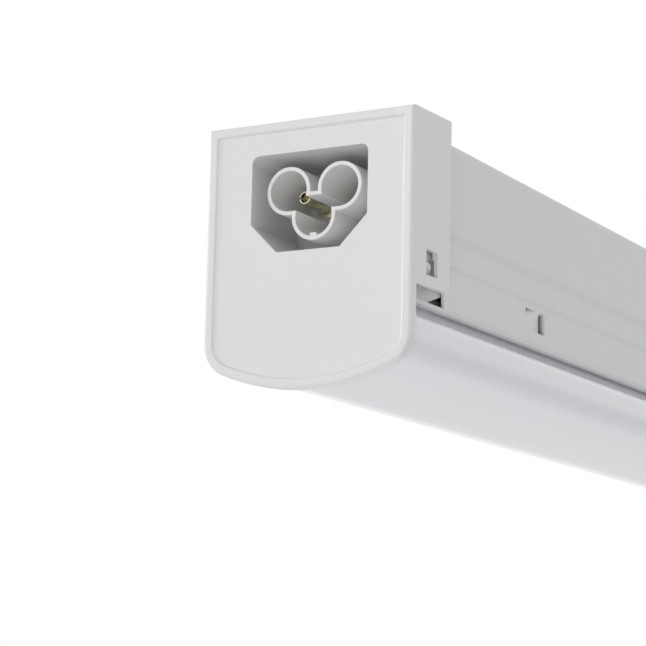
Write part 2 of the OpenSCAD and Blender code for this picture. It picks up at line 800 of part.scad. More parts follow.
// Rubber grommet in the tray, which the leads pass through
module lead_grommet() {
    inner_r = 2.1;
    lip_t = 1.2;
    color("dimgray") translate([grommet_x, grommet_y, cap_rise - tray_drop]) rotate_extrude() polygon([
        [inner_r, -lip_t], [grommet_r, -lip_t], [grommet_r, 0], [grommet_neck, 0], [grommet_neck, sheet_t],
        [grommet_r, sheet_t], [grommet_r, sheet_t + lip_t], [inner_r, sheet_t + lip_t]]);
}

// Driver

module driver_case() {
    foot = back_z - driver_h;
    color([0.88, 0.88, 0.86]) difference() {
        union() {
            translate([-driver_w / 2, -driver_len / 2, foot]) cube([driver_w, driver_len, driver_h]);
            translate([-ear_w / 2, -driver_len / 2 - ear_len, back_z - ear_t])
                cube([ear_w, driver_len + 2 * ear_len, ear_t]);
        }
        translate([case_t - driver_w / 2, case_t - driver_len / 2, foot - 1])
            cube([driver_w - 2 * case_t, driver_len - 2 * case_t, driver_h - case_t + 1]);
        for (s = [-1, 1]) translate([0, s * (driver_len + ear_len) / 2, back_z - ear_t - 1])
            cylinder(r = screw_r + pass_gap, h = ear_t + 2);
        terminal_mouth(-1, input_w);
        terminal_mouth(1, output_w);
    }
    color([0.88, 0.88, 0.86]) for (x = [-1, 1], y = [-1, 1])
        translate([x * (driver_w / 2 - 4.5), y * (driver_len / 2 - 22), pcb_z + pcb_t])
            cylinder(r = 2, h = back_z - case_t - pcb_z - pcb_t + eps);
}

// Opening in an end wall of the case for a terminal block w wide
module terminal_mouth(side, w) {
    translate([-w / 2 - fit_gap, side * driver_len / 2 - 3, back_z - driver_h - 1])
        cube([w + 2 * fit_gap, 6, terminal_z + terminal_h / 2 + fit_gap - back_z + driver_h + 1]);
}

module driver_cover() {
    foot = back_z - driver_h;
    lip_h = pcb_z - foot;
    inset = case_t + 0.2;
    vent_end = driver_len / 2 - 55;
    color([0.84, 0.84, 0.82]) difference() {
        union() {
            translate([-driver_w / 2, -driver_len / 2, foot - case_t]) cube([driver_w, driver_len, case_t]);
            translate([inset - driver_w / 2, inset - driver_len / 2, foot - eps])
                cube([driver_w - 2 * inset, driver_len - 2 * inset, lip_h + eps]);
        }
        translate([inset + case_t - driver_w / 2, inset + case_t - driver_len / 2, foot])
            cube([driver_w - 2 * (inset + case_t), driver_len - 2 * (inset + case_t), lip_h + 1]);
        for (y = [-vent_end : 8 : vent_end]) translate([-8, y - 1, foot - case_t - 1]) cube([16, 2, 4]);
    }
}

module driver_board() {
    color([0.2, 0.45, 0.28]) translate([0.4 + case_t - driver_w / 2, 0.4 + case_t - driver_len / 2, pcb_z])
        cube([driver_w - 2 * case_t - 0.8, driver_len - 2 * case_t - 0.8, pcb_t]);
}

// Stands its children on the driver's board
module on_board(y) {
    translate([0, y, pcb_z + pcb_t]) children();
}

// Ferrite transformer: two E cores closed round a wound bobbin
module driver_transformer() {
    color([0.25, 0.24, 0.23]) on_board(5) difference() {
        translate([-10, -9, 0]) cube([20, 18, 14]);
        both_sides() translate([5, -10, 3]) cube([2.6, 20, 8]);
        translate([-5.5, -10, 3]) cube([11, 4, 8]);
        translate([-5.5, 6, 3]) cube([11, 4, 8]);
    }
}

// Common-mode choke and filter coil: wound rings that stand on the board
module driver_coils() {
    ring_mid_r = 4.6;
    winding_t = 4;
    winding_w = 8;
    color([0.7, 0.42, 0.2]) for (y = [37, 63]) on_board(y - driver_len / 2)
        translate([0, 0, ring_mid_r + winding_t / 2 + 0.2]) rotate([90, 0, 0]) rotate_extrude()
            translate([ring_mid_r, 0]) square([winding_t, winding_w], center = true);
}

// Electrolytic capacitors, each with its vent groove
module driver_capacitors() {
    color([0.15, 0.16, 0.2]) {
        on_board(-28) translate([-4, 0, 0]) capacitor(5, 15);
        on_board(32) translate([5.5, 0, 0]) capacitor(4, 13);
        on_board(42) translate([-5.5, 0, 0]) capacitor(4, 13);
    }
}

module capacitor(r, h) {
    difference() {
        union() {
            cylinder(r = r, h = h);
            cylinder(r = r + 0.25, h = 1.5);
        }
        for (a = [0, 90]) rotate([0, 0, a]) translate([-r * 0.7, -0.2, h - 0.3]) cube([r * 1.4, 0.4, 1]);
    }
}

// Bridge rectifier, control chip and output diode, each a moulded body on its legs
module driver_chips() {
    color([0.12, 0.12, 0.13]) {
        on_board(-10) translate([-7, 0, 0]) chip([7, 5, 3]);
        on_board(20) translate([7.5, 0, 0]) chip([6, 9, 3.4]);
        on_board(driver_len / 2 - 53) translate([8, 0, 0]) chip([6, 5, 10]);
    }
}

module chip(size) {
    leg = 0.6;
    translate([-size[0] / 2, -size[1] / 2, leg]) cube(size);
    for (x = [-1, 1], y = [-1, 1]) translate([x * (size[0] / 2 - leg), y * (size[1] / 2 - leg), leg])
        cube([leg, leg, 2 * leg], center = true);
}

// A push-in terminal block with a row of wire mouths that face -Y
module terminal_block(poles) {
    w = poles * pole_pitch + 1;
    difference() {
        translate([-w / 2, 0, -terminal_z + pcb_z + pcb_t]) cube([w, terminal_d, terminal_h]);
        for (k = [0 : poles - 1]) translate([(k - (poles - 1) / 2) * pole_pitch, 0, 0]) {
            translate([0, -1, 0]) along_y() cylinder(r = hole_r, h = hole_depth + 1);
            translate([-1, 3, 3]) cube([2, 4, terminal_h]);
        }
    }
}

module input_terminal() {
    color("lightgray") translate([0, -terminal_y, terminal_z]) terminal_block(4);
}

module output_terminal() {
    color("lightgray") translate([0, terminal_y, terminal_z]) rotate([0, 0, 180]) terminal_block(2);
}

module driver_screws() {
    color(zinc) for (s = [-1, 1]) translate([0, s * (driver_len + ear_len) / 2, back_z - ear_t])
        rotate([180, 0, 0]) pan_screw(ear_t + sheet_t - 0.1);
}

// Earth point

module earth_screw() {
    color(zinc) translate([earth_x, earth_y, back_z - 2 * ring_t]) rotate([180, 0, 0])
        pan_screw(2 * ring_t + sheet_t - 0.1);
}

// A ring terminal flat under the channel's back, its barrel towards -Y
module earth_ring(level) {
    bore_r = wire_r + 0.15;
    difference() {
        union() {
            translate([0, 0, back_z - (level + 1) * ring_t]) cylinder(r = ring_r, h = ring_t);
            translate([-1.4, -ring_r - 1.5, back_z - (level + 1) * ring_t]) cube([2.8, ring_r, ring_t]);
            translate([0, -ring_r - 1 - barrel_len, barrel_z]) along_y()
                cylinder(r = barrel_r, h = barrel_len);
        }
        translate([0, 0, -10]) cylinder(r = screw_r + pass_gap, h = 20);
        translate([0, -ring_r - 2 - barrel_len, barrel_z]) along_y() cylinder(r = bore_r, h = 6);
    }
}

module earth_rings() {
    color(zinc) translate([earth_x, earth_y, 0]) {
        earth_ring(0);
        rotate([0, 0, 180]) earth_ring(1);
    }
}

// Saddles that hold three wires against the channel's back on each side
module wire_clips() {
    arm_t = 0.9;
    depth = back_z - lane_z + wire_r + 0.3;
    span = fixture_len / 2 - terminal_y;
    color("ivory") for (k = [0.45, 0.75], s = [-1, 1], x = [-1, 1])
        translate([x * lane(1), s * (terminal_y + k * span), back_z]) difference() {
            translate([-clip_w / 2 - arm_t, -4, -depth - arm_t]) cube([clip_w + 2 * arm_t, 8, depth + arm_t]);
            translate([-clip_w / 2, -5, -depth]) cube([clip_w, 10, depth - 0.8]);
        }
}

// Routes of the wires

// Across place of lane k, counted inwards from the outer one
function lane(k) = lane_x - k * lane_pitch;

// From a near crimp barrel to lane k of the near side, then on to place hole_x of the input terminal
function near_route(x, drop, k, hole_x) = let (z = cap_rise - drop, e = near_end + wire_start,
    w = -lane(k)) [
    [x, e, z], [x, e + 10, z], [x * 0.8 - 3, e + 26, z], [w + 5, e + 44, z * 0.6], [w, e + 62, lane_z],
    [w, e + 84, lane_z], [w, -terminal_y - 44, lane_z], [w, -terminal_y - 30, lane_z],
    [hole_x - 3, -terminal_y - 20, terminal_z + 1], [hole_x, -terminal_y - 11, terminal_z],
    [hole_x, -terminal_y + wire_in, terminal_z]];

// From a far crimp barrel along lane k of the far side, past the driver and back into the input
// terminal
function far_route(x, drop, k, hole_x, bow) = let (z = cap_rise - drop, e = -near_end - wire_start,
    w = lane(k)) [
    [x, e, z], [x, e - 10, z], [x * 0.8 + 3, e - 26, z], [w - 5, e - 44, z * 0.6], [w, e - 62, lane_z],
    [w, e - 84, lane_z], [w, -terminal_y + 2, lane_z], [w, -terminal_y - 10, lane_z],
    [w - 1, -terminal_y - 20 - bow, (lane_z + terminal_z) / 2],
    [hole_x + 2, -terminal_y - 22 - bow, terminal_z], [hole_x, -terminal_y - 9, terminal_z],
    [hole_x, -terminal_y + wire_in, terminal_z]];

// Earth wires: from their crimp barrels to the ring terminals
function near_earth_route() = let (z = cap_rise - earth_z, e = near_end + wire_start, w = -lane(2)) [
    [0, e, z], [0, e + 10, z], [-4, e + 26, z], [w + 5, e + 46, z * 0.6], [w, e + 64, lane_z],
    [w, e + 86, lane_z], [w, earth_y - 62, lane_z], [w, earth_y - 48, lane_z],
    [earth_x - 6, earth_y - 30, barrel_z - 3], [earth_x, earth_y - ring_r - barrel_len - 10, barrel_z],
    [earth_x, earth_y - ring_r - 1 - barrel_len + 4.5, barrel_z]];
function far_earth_route() = let (z = cap_rise - earth_z, e = -near_end - wire_start, w = lane(2)) [
    [0, e, z], [0, e - 10, z], [4, e - 26, z], [w - 5, e - 46, z * 0.6], [w, e - 64, lane_z],
    [w, e - 86, lane_z], [w, earth_y + 50, lane_z], [w, earth_y + 36, lane_z],
    [earth_x + 1, earth_y + 26, barrel_z], [earth_x, earth_y + ring_r + barrel_len + 6, barrel_z],
    [earth_x, earth_y + ring_r + 1 + barrel_len - 4.5, barrel_z]];

// A low-voltage lead: from the output terminal along the tray, through the grommet and to the
// board's terminal
function lead_route(s) = let (x = grommet_x + s * lead_gap, low = cap_rise - board_drop - socket_h / 2,
    rest = cap_rise - web_drop + lead_r + 0.1) [
    [s * pole_pitch / 2, terminal_y - wire_in, terminal_z], [s * pole_pitch / 2, terminal_y + 9, terminal_z],
    [x - 6, terminal_y + 26, terminal_z - 4], [x, terminal_y + 46, rest], [x, terminal_y + 60, rest],
    [x, grommet_y - 20, rest], [x, grommet_y - 10, rest + 1], [x, grommet_y - 3, rest + 3.5],
    [x, grommet_y, rest + 2.5], [x, grommet_y, cap_rise - tray_drop - 1.5],
    [x + 0.5, grommet_y + 1, low], [x, socket_y + s * socket_pitch / 2, low],
    [socket_x + socket_w / 2 + 3, socket_y + s * socket_pitch / 2, low],
    [socket_x + socket_w / 2 - 3.5, socket_y + s * socket_pitch / 2, low]];

module mains_wire(p) {
    wire(p, wire_r, [0, 0, 1]);
}

module lead(s) {
    wire(lead_route(s), lead_r, [1, 0, 0.1]);
}

module near_live_wire() color("black")
    mains_wire(near_route(-lobe_pitch / 2, lobe_drop, 0, -1.5 * pole_pitch));
module near_neutral_wire() color("white")
    mains_wire(near_route(lobe_pitch / 2, lobe_drop, 1, -0.5 * pole_pitch));
module near_earth_wire() color("green") mains_wire(near_earth_route());
module far_live_wire() color("black")
    mains_wire(far_route(-lobe_pitch / 2, lobe_drop, 1, 0.5 * pole_pitch, 6));
module far_neutral_wire() color("white")
    mains_wire(far_route(lobe_pitch / 2, lobe_drop, 0, 1.5 * pole_pitch, 0));
module far_earth_wire() color("green") mains_wire(far_earth_route());
module positive_lead() color("red") lead(1);
module negative_lead() color("black") lead(-1);

// Diffuser

// Closed outline of the diffuser's body, drawn inwards by inset
module lens_region(inset) {
    half = cap_w / 2 - diffuser_in - inset;
    top = -shoulder_drop - inset;
    round = shoulder_r - inset;
    intersection() {
        cap_outline(diffuser_in + inset);
        union() {
            translate([-half, -cap_h]) square([2 * half, cap_h + top - round]);
            translate([round - half, -cap_h]) square([2 * (half - round), cap_h + top]);
            for (s = [-1, 1]) translate([s * (half - round), top - round]) circle(r = round);
        }
    }
}

module diffuser_section() {
    foot = -shoulder_drop - diffuser_t;
    difference() {
        lens_region(0);
        lens_region(diffuser_t);
        translate([leg_t - leg_x, foot - eps]) square([2 * (leg_x - leg_t), diffuser_t + 1]);
    }
    both_sides() {
        translate([leg_x - leg_t, foot]) square([leg_t, -leg_drop - foot]);
        translate([leg_x - eps, fit_gap + sheet_t - channel_foot]) polygon([[0, 0], [bead_w + eps, 0.5],
            [bead_w + eps, bead_h - 0.6], [0, bead_h]]);
    }
}

// The strip of the diffuser between x = from and x = to
module diffuser_strip(from, to) {
    color([0.93, 0.93, 0.97]) translate([0, -diffuser_len / 2, cap_rise]) along_y()
        linear_extrude(diffuser_len) intersection() {
            diffuser_section();
            translate([from, -cap_h]) square([to - from, cap_h]);
        }
}

// The curved floor of the diffuser, and its two sides with their legs
module diffuser_lens() diffuser_strip(-floor_half, floor_half);
module diffuser_left_side() diffuser_strip(-cap_w / 2, -floor_half);
module diffuser_right_side() diffuser_strip(floor_half, cap_w / 2);

// Caps and what they carry

module near_end_cap() color(white) at_near() end_cap();
module far_end_cap() color(white) at_far() end_cap();
module near_cap_plug() color(white) at_near() cap_plug();
module far_cap_plug() color(white) at_far() cap_plug();
module near_socket_insert() color(white) at_near() insert(true);
module far_inlet_insert() color(white) at_far() insert(false);
module near_insert_screws() color(zinc) at_near() insert_screws();
module far_insert_screws() color(zinc) at_far() insert_screws();
module near_live_sleeve() color(brass) at_near() at_pole(-lobe_pitch / 2, lobe_drop)
    contact_sleeve(sleeve_len);
module near_neutral_sleeve() color(brass) at_near() at_pole(lobe_pitch / 2, lobe_drop)
    contact_sleeve(short_sleeve_len);
module near_earth_sleeve() color(brass) at_near() at_pole(0, earth_z) contact_sleeve(short_sleeve_len);
module far_live_pin() color(brass) at_far() at_pole(lobe_pitch / 2, lobe_drop) contact_pin();
module far_neutral_pin() color(brass) at_far() at_pole(-lobe_pitch / 2, lobe_drop) contact_pin();
module far_earth_pin() color(brass) at_far() at_pole(0, earth_z) contact_pin();

channel_back();
channel_left_side();
channel_right_side();
channel_left_flange();
channel_right_flange();
led_tray();
tray_left_side();
tray_right_side();
led_board(-1);  // near_led_board
led_board(1);  // far_led_board
leds(-1);  // near_leds
leds(1);  // far_leds
board_rivets();
board_jumper();
board_terminal();
lead_grommet();
driver_case();
driver_cover();
driver_board();
driver_transformer();
driver_coils();
driver_capacitors();
driver_chips();
input_terminal();
output_terminal();
driver_screws();
earth_screw();
earth_rings();
wire_clips();
near_live_wire();
near_neutral_wire();
near_earth_wire();
far_live_wire();
far_neutral_wire();
far_earth_wire();
positive_lead();
negative_lead();
diffuser_lens();
diffuser_left_side();
diffuser_right_side();
near_end_cap();
near_cap_plug();
near_socket_insert();
near_live_sleeve();
near_neutral_sleeve();
near_earth_sleeve();
near_insert_screws();
far_end_cap();
far_cap_plug();
far_inlet_insert();
far_live_pin();
far_neutral_pin();
far_earth_pin();
far_insert_screws();
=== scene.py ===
"""Dresses the linkable LED strip light in its finishes, and adds the detail that its solids leave out.

Sizes are in millimetres in the classes and become metres when a mesh is made. The frame is the
part's own: +Y along the fixture, +X across it and +Z up, with z = 0 on the channel's back.
"""

import logging
import math
from dataclasses import dataclass
from enum import Enum
from typing import Iterable, Sequence

import bmesh
import bpy
from mathutils import Matrix, Vector

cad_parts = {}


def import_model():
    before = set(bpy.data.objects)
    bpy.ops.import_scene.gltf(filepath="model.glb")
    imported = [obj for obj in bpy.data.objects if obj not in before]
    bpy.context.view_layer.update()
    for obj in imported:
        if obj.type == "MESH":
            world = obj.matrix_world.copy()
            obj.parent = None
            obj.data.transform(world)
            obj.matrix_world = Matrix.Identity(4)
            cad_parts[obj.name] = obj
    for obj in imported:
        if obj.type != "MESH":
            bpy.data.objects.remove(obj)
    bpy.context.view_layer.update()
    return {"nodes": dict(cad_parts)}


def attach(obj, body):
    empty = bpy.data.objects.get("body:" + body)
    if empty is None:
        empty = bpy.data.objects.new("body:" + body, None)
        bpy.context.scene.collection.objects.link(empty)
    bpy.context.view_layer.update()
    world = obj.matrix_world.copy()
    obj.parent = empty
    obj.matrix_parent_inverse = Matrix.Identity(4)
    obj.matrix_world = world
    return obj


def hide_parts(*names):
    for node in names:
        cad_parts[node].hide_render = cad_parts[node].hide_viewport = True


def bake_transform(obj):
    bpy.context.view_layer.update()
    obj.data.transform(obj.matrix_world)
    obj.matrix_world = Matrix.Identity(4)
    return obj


log = logging.getLogger("strip_light")

MM = 0.001
Colour = tuple[float, float, float]
Point = tuple[float, float, float]
Flat = tuple[float, float]
Corner = tuple[float, float, float]

# Places that several pieces share, in millimetres: the outer faces of the caps along Y, the cap's top
# above the channel's back, and the grommet's place in the tray
END_Y = 600.0
CAP_RISE = 4.3
GROMMET: Flat = (19.5, 268.25)

# Edges that turn by more than this stay sharp
SHARP_DEG = 32.0


class End(Enum):
    """The two ends of the fixture, with the sign of Y and the body that the cap rides on."""

    NEAR = (-1, "near_cap")
    FAR = (1, "far_cap")

    @property
    def sign(self) -> int:
        """Sign of Y at this end."""
        return self.value[0]

    @property
    def body(self) -> str:
        """Name of the body that this end's cap rides on."""
        return self.value[1]

    @property
    def title(self) -> str:
        """Word that starts the names of this end's pieces."""
        return self.name.lower()


class Pole(Enum):
    """The poles of the link socket, each with its place across and its depth below the cap's top."""

    LIVE = (-7.5, 17.9)
    NEUTRAL = (7.5, 17.9)
    EARTH = (0.0, 25.0)

    @property
    def title(self) -> str:
        """Word that stands in the names of this pole's pieces."""
        return self.name.lower()

    @property
    def x(self) -> float:
        """Place across the fixture."""
        return self.value[0]

    @property
    def z(self) -> float:
        """Height in the part's frame."""
        return CAP_RISE - self.value[1]


# Shader graphs


def shade(colour: Colour, factor: float) -> Colour:
    """A colour made lighter or darker.

    Args:
        colour: The colour.
        factor: What each channel is multiplied by.

    Returns:
        The new colour.
    """
    return tuple(min(1.0, c * factor) for c in colour)


class Graph:
    """A material's node tree, with a short call for each node that the finishes use."""

    def __init__(self, name: str) -> None:
        """Starts a material with one principled surface.

        Args:
            name: The material's name.
        """
        self.material = bpy.data.materials.new(name)
        self.material.use_nodes = True
        self.tree = self.material.node_tree
        self.tree.nodes.clear()
        self.surface = self.tree.nodes.new("ShaderNodeBsdfPrincipled")
        self.output = self.tree.nodes.new("ShaderNodeOutputMaterial")
        self.join(self.surface.outputs["BSDF"], self.output.inputs["Surface"])
        self.place = self.tree.nodes.new("ShaderNodeTexCoord").outputs["Object"]

    def join(self, source: bpy.types.NodeSocket, target: bpy.types.NodeSocket) -> None:
        """Links two sockets."""
        self.tree.links.new(source, target)

    def feed(self, node: bpy.types.Node, key: str | int, value: object) -> None:
        """Links a socket to a node's input, or sets the input to a constant.

        Args:
            node: The node that has the input.
            key: The input's name or number.
            value: A socket, or the constant.
        """
        if isinstance(value, bpy.types.NodeSocket):
            self.join(value, node.inputs[key])
        else:
            node.inputs[key].default_value = value

    def constants(self, **values: object) -> None:
        """Sets constants on the principled surface, with underscores for the spaces in names."""
        for key, value in values.items():
            self.surface.inputs[key.replace("_", " ")].default_value = value

    def stretched(self, scale: Point) -> bpy.types.NodeSocket:
        """Object coordinates times a scale for each axis.

        Args:
            scale: The factor for X, Y and Z.

        Returns:
            The scaled coordinates.
        """
        node = self.tree.nodes.new("ShaderNodeMapping")
        self.join(self.place, node.inputs["Vector"])
        node.inputs["Scale"].default_value = scale
        return node.outputs["Vector"]

    def noise(self, grain_mm: float, detail: float = 2.0, where: object = None) -> bpy.types.NodeSocket:
        """Noise with features of about a given size.

        Args:
            grain_mm: The size of a feature.
            detail: How many finer layers are added.
            where: Coordinates to use in place of the object's own.

        Returns:
            The noise, from 0 to 1.
        """
        node = self.tree.nodes.new("ShaderNodeTexNoise")
        self.feed(node, "Vector", where or self.place)
        self.feed(node, "Scale", 1 / (grain_mm * MM))
        self.feed(node, "Detail", detail)
        return node.outputs["Fac"]

    def combine(self, kind: str, first: object, second: object = 0.0) -> bpy.types.NodeSocket:
        """One step of arithmetic.

        Args:
            kind: The operation, in Blender's word for it.
            first: The first number or socket.
            second: The second number or socket.

        Returns:
            The result.
        """
        node = self.tree.nodes.new("ShaderNodeMath")
        node.operation = kind
        self.feed(node, 0, first)
        self.feed(node, 1, second)
        return node.outputs["Value"]

    def between(self, factor: object, low: float, high: float) -> bpy.types.NodeSocket:
        """Spreads a factor of 0 to 1 over a range.

        Args:
            factor: The socket to spread.
            low: The value at 0.
            high: The value at 1.

        Returns:
            The spread value.
        """
        node = self.tree.nodes.new("ShaderNodeMapRange")
        self.feed(node, "Value", factor)
        self.feed(node, "To Min", low)
        self.feed(node, "To Max", high)
        return node.outputs["Result"]

    def wander(self, factor: object, middle: float, shares: Flat) -> bpy.types.NodeSocket:
        """Lets a value vary between two shares of its middle.

        Args:
            factor: The socket that it varies with.
            middle: The value.
            shares: The share of it at 0 and the share at 1.

        Returns:
            The varied value.
        """
        return self.between(factor, middle * shares[0], middle * shares[1])

    def step(self, value: object, edge: float, width: float = 0.0001) -> bpy.types.NodeSocket:
        """A soft step from 0 to 1 at an edge.

        Args:
            value: The socket that crosses the edge.
            edge: Where the step lies.
            width: How wide the step is.

        Returns:
            The step.
        """
        node = self.tree.nodes.new("ShaderNodeMapRange")
        node.clamp = True
        self.feed(node, "Value", value)
        self.feed(node, "From Min", edge - width / 2)
        self.feed(node, "From Max", edge + width / 2)
        return node.outputs["Result"]

    def blend(self, factor: object, first: object, second: object) -> bpy.types.NodeSocket:
        """Mixes two colours.

        Args:
            factor: 0 for the first colour, 1 for the second.
            first: A colour or socket.
            second: A colour or socket.

        Returns:
            The mixed colour.
        """
        node = self.tree.nodes.new("ShaderNodeMix")
        node.data_type = "RGBA"
        node.clamp_factor = True
        self.feed(node, "Factor", factor)
        self.feed(node, 6, (*first, 1.0) if isinstance(first, tuple) else first)
        self.feed(node, 7, (*second, 1.0) if isinstance(second, tuple) else second)
        return node.outputs[2]

    def tint(self, factor: object, colour: Colour, shares: Flat) -> bpy.types.NodeSocket:
        """Mixes two shades of one colour.

        Args:
            factor: 0 for the first shade, 1 for the second.
            colour: The colour.
            shares: How light each shade is, measured by the colour.

        Returns:
            The mixed colour.
        """
        return self.blend(factor, shade(colour, shares[0]), shade(colour, shares[1]))

    def split(self, vector: object) -> Sequence[bpy.types.NodeSocket]:
        """Splits coordinates into X, Y and Z."""
        node = self.tree.nodes.new("ShaderNodeSeparateXYZ")
        self.feed(node, "Vector", vector)
        return node.outputs

    def facing(self) -> Sequence[bpy.types.NodeSocket]:
        """The true surface direction, split into X, Y and Z."""
        return self.split(self.tree.nodes.new("ShaderNodeNewGeometry").outputs["True Normal"])

    def relief(self, height: object, depth_mm: float, strength: float = 1.0, under: object = None) -> object:
        """Turns a height into a bumped normal.

        Args:
            height: The height, from 0 to 1.
            depth_mm: What a height of 1 means.
            strength: How much of the bump shows.
            under: The normal of the bump below this one.

        Returns:
            The normal socket.
        """
        node = self.tree.nodes.new("ShaderNodeBump")
        self.feed(node, "Height", height)
        self.feed(node, "Distance", depth_mm * MM)
        self.feed(node, "Strength", strength)
        if under is not None:
            self.feed(node, "Normal", under)
        return node.outputs["Normal"]

    def done(self, colour: object = None, roughness: object = None, normal: object = None) -> object:
        """Connects what varies over the surface and hands over the material.

        Args:
            colour: The base colour's socket.
            roughness: The roughness's socket.
            normal: The normal's socket.

        Returns:
            The material.
        """
        for key, value in (("Base Color", colour), ("Roughness", roughness), ("Normal", normal)):
            if value is not None:
                self.join(value, self.surface.inputs[key])
        return self.material


# Finishes


@dataclass(frozen=True)
class MouldedPlastic:
    """Injection-moulded plastic: a fine tool texture, faint flow marks and a soft gloss."""

    name: str
    colour: Colour
    roughness: float
    grain_mm: float = 0.35
    grain_depth_mm: float = 0.006
    flow: float = 0.02
    coat: float = 0.0
    flow_mm: float = 28.0
    flow_depth_mm: float = 0.05
    mottle_mm: float = 2.2
    spread: Flat = (0.86, 1.16)

    def material(self) -> bpy.types.Material:
        """Builds the material."""
        graph = Graph(self.name)
        graph.constants(IOR=1.52, Coat_Weight=self.coat, Coat_Roughness=0.06)
        flow = graph.noise(self.flow_mm, 3.0, graph.stretched((1.0, 0.6, 1.4)))
        mottle = graph.noise(self.mottle_mm, 4.0)
        grain = graph.noise(self.grain_mm, 1.0)
        colour = graph.tint(flow, self.colour, (1 - self.flow, 1 + self.flow / 2))
        rough = graph.wander(mottle, self.roughness, self.spread)
        waves = graph.relief(flow, self.flow_depth_mm, 0.15)
        return graph.done(colour, rough, graph.relief(grain, self.grain_depth_mm, 0.6, waves))


@dataclass(frozen=True)
class PowderCoat:
    """Baked powder on sheet steel: orange peel, a satin gloss and a few specks."""

    name: str
    colour: Colour
    roughness: float = 0.42
    peel_mm: float = 1.1
    peel_depth_mm: float = 0.03
    fine_mm: float = 0.3
    fine_depth_mm: float = 0.004
    drift_mm: float = 60.0
    speck_mm: float = 0.9
    spread: Flat = (0.9, 1.12)

    def material(self) -> bpy.types.Material:
        """Builds the material."""
        graph = Graph(self.name)
        graph.constants(IOR=1.5)
        peel = graph.noise(self.peel_mm, 1.0)
        fine = graph.noise(self.fine_mm, 2.0)
        drift = graph.noise(self.drift_mm, 2.0)
        specks = graph.step(graph.noise(self.speck_mm, 0.0), 0.86, 0.05)
        tone = graph.tint(drift, self.colour, (0.985, 1.01))
        colour = graph.blend(graph.combine("MULTIPLY", specks, 0.25), tone, shade(self.colour, 0.8))
        rough = graph.wander(fine, self.roughness, self.spread)
        coat = graph.relief(peel, self.peel_depth_mm, 0.35)
        return graph.done(colour, rough, graph.relief(fine, self.fine_depth_mm, 0.5, coat))


@dataclass(frozen=True)
class OpalPlastic:
    """Extruded opal plastic: light soaks in, and faint die lines run along the length."""

    name: str
    colour: Colour
    roughness: float = 0.34
    soak_mm: float = 2.0
    line_mm: float = 1.6
    line_depth_mm: float = 0.012
    cloud_mm: float = 18.0
    spread: Flat = (0.85, 1.2)

    def material(self) -> bpy.types.Material:
        """Builds the material."""
        graph = Graph(self.name)
        graph.constants(IOR=1.58, Coat_Weight=0.8, Coat_Roughness=0.12, Coat_IOR=1.55)
        graph.constants(Subsurface_Weight=0.2, Subsurface_Scale=self.soak_mm * MM,
                        Subsurface_Radius=(1.0, 1.0, 1.1))
        lines = graph.noise(self.line_mm, 3.0, graph.stretched((1.0, 0.006, 1.0)))
        cloud = graph.noise(self.cloud_mm, 3.0)
        colour = graph.tint(cloud, self.colour, (0.985, 1.01))
        rough = graph.wander(cloud, self.roughness, self.spread)
        return graph.done(colour, rough, graph.relief(lines, self.line_depth_mm, 0.35))


@dataclass(frozen=True)
class Metal:
    """Plated or bare metal with fine drawing marks and dull patches."""

    name: str
    colour: Colour
    dull: Colour
    roughness: float
    patch: float = 0.5
    stretch: Point = (1.0, 0.06, 1.0)
    mark_mm: float = 0.12
    mark_depth_mm: float = 0.004
    patch_mm: float = 1.8
    spread: Flat = (0.7, 1.4)

    def material(self) -> bpy.types.Material:
        """Builds the material."""
        graph = Graph(self.name)
        graph.constants(Metallic=1.0)
        marks = graph.noise(self.mark_mm, 3.0, graph.stretched(self.stretch))
        patches = graph.noise(self.patch_mm, 4.0)
        worn = graph.combine("MULTIPLY", graph.step(patches, 0.56, 0.3), self.patch)
        colour = graph.blend(worn, self.colour, self.dull)
        rough = graph.wander(patches, self.roughness, self.spread)
        return graph.done(colour, rough, graph.relief(marks, self.mark_depth_mm, 0.5))


@dataclass(frozen=True)
class Insulation:
    """The soft plastic skin of a wire, with faint bands from its winding."""

    name: str
    colour: Colour
    roughness: float = 0.38
    band_mm: float = 5.0
    skin_mm: float = 0.25
    skin_depth_mm: float = 0.01
    spread: Flat = (0.8, 1.25)

    def material(self) -> bpy.types.Material:
        """Builds the material."""
        graph = Graph(self.name)
        graph.constants(IOR=1.5)
        bands = graph.noise(self.band_mm, 2.0)
        skin = graph.noise(self.skin_mm, 2.0)
        colour = graph.tint(bands, self.colour, (0.88, 1.08))
        rough = graph.wander(bands, self.roughness, self.spread)
        return graph.done(colour, rough, graph.relief(skin, self.skin_depth_mm, 0.4))


@dataclass(frozen=True)
class CircuitLaminate:
    """A printed circuit board: copper tracks show as low ridges under the solder mask."""

    name: str
    mask: Colour
    edge: Colour
    pitch_mm: float
    track_mm: float
    gap_mm: float = 0.6
    blur_mm: float = 0.2
    track_depth_mm: float = 0.035
    weave_mm: float = 0.6
    weave_depth_mm: float = 0.01

    def material(self) -> bpy.types.Material:
        """Builds the material."""
        graph = Graph(self.name)
        graph.constants(IOR=1.5)
        across, along, _ = graph.split(graph.place)
        beat = graph.combine("PINGPONG", along, self.pitch_mm * MM / 2)
        lane = graph.combine("PINGPONG", across, self.track_mm * MM)
        gap = graph.step(beat, self.gap_mm * MM, self.blur_mm * MM)
        tracks = graph.step(lane, self.track_mm * MM * 0.22, self.blur_mm * MM)
        ridge = graph.combine("MULTIPLY", tracks, gap)
        weave = graph.noise(self.weave_mm, 2.0)
        mask = graph.blend(ridge, shade(self.mask, 0.86), self.mask)
        flat = graph.combine("ABSOLUTE", graph.facing()[2])
        colour = graph.blend(graph.step(flat, 0.5, 0.2), self.edge, mask)
        rough = graph.between(weave, 0.28, 0.42)
        cloth = graph.relief(weave, self.weave_depth_mm, 0.3)
        return graph.done(colour, rough, graph.relief(ridge, self.track_depth_mm, 0.8, cloth))


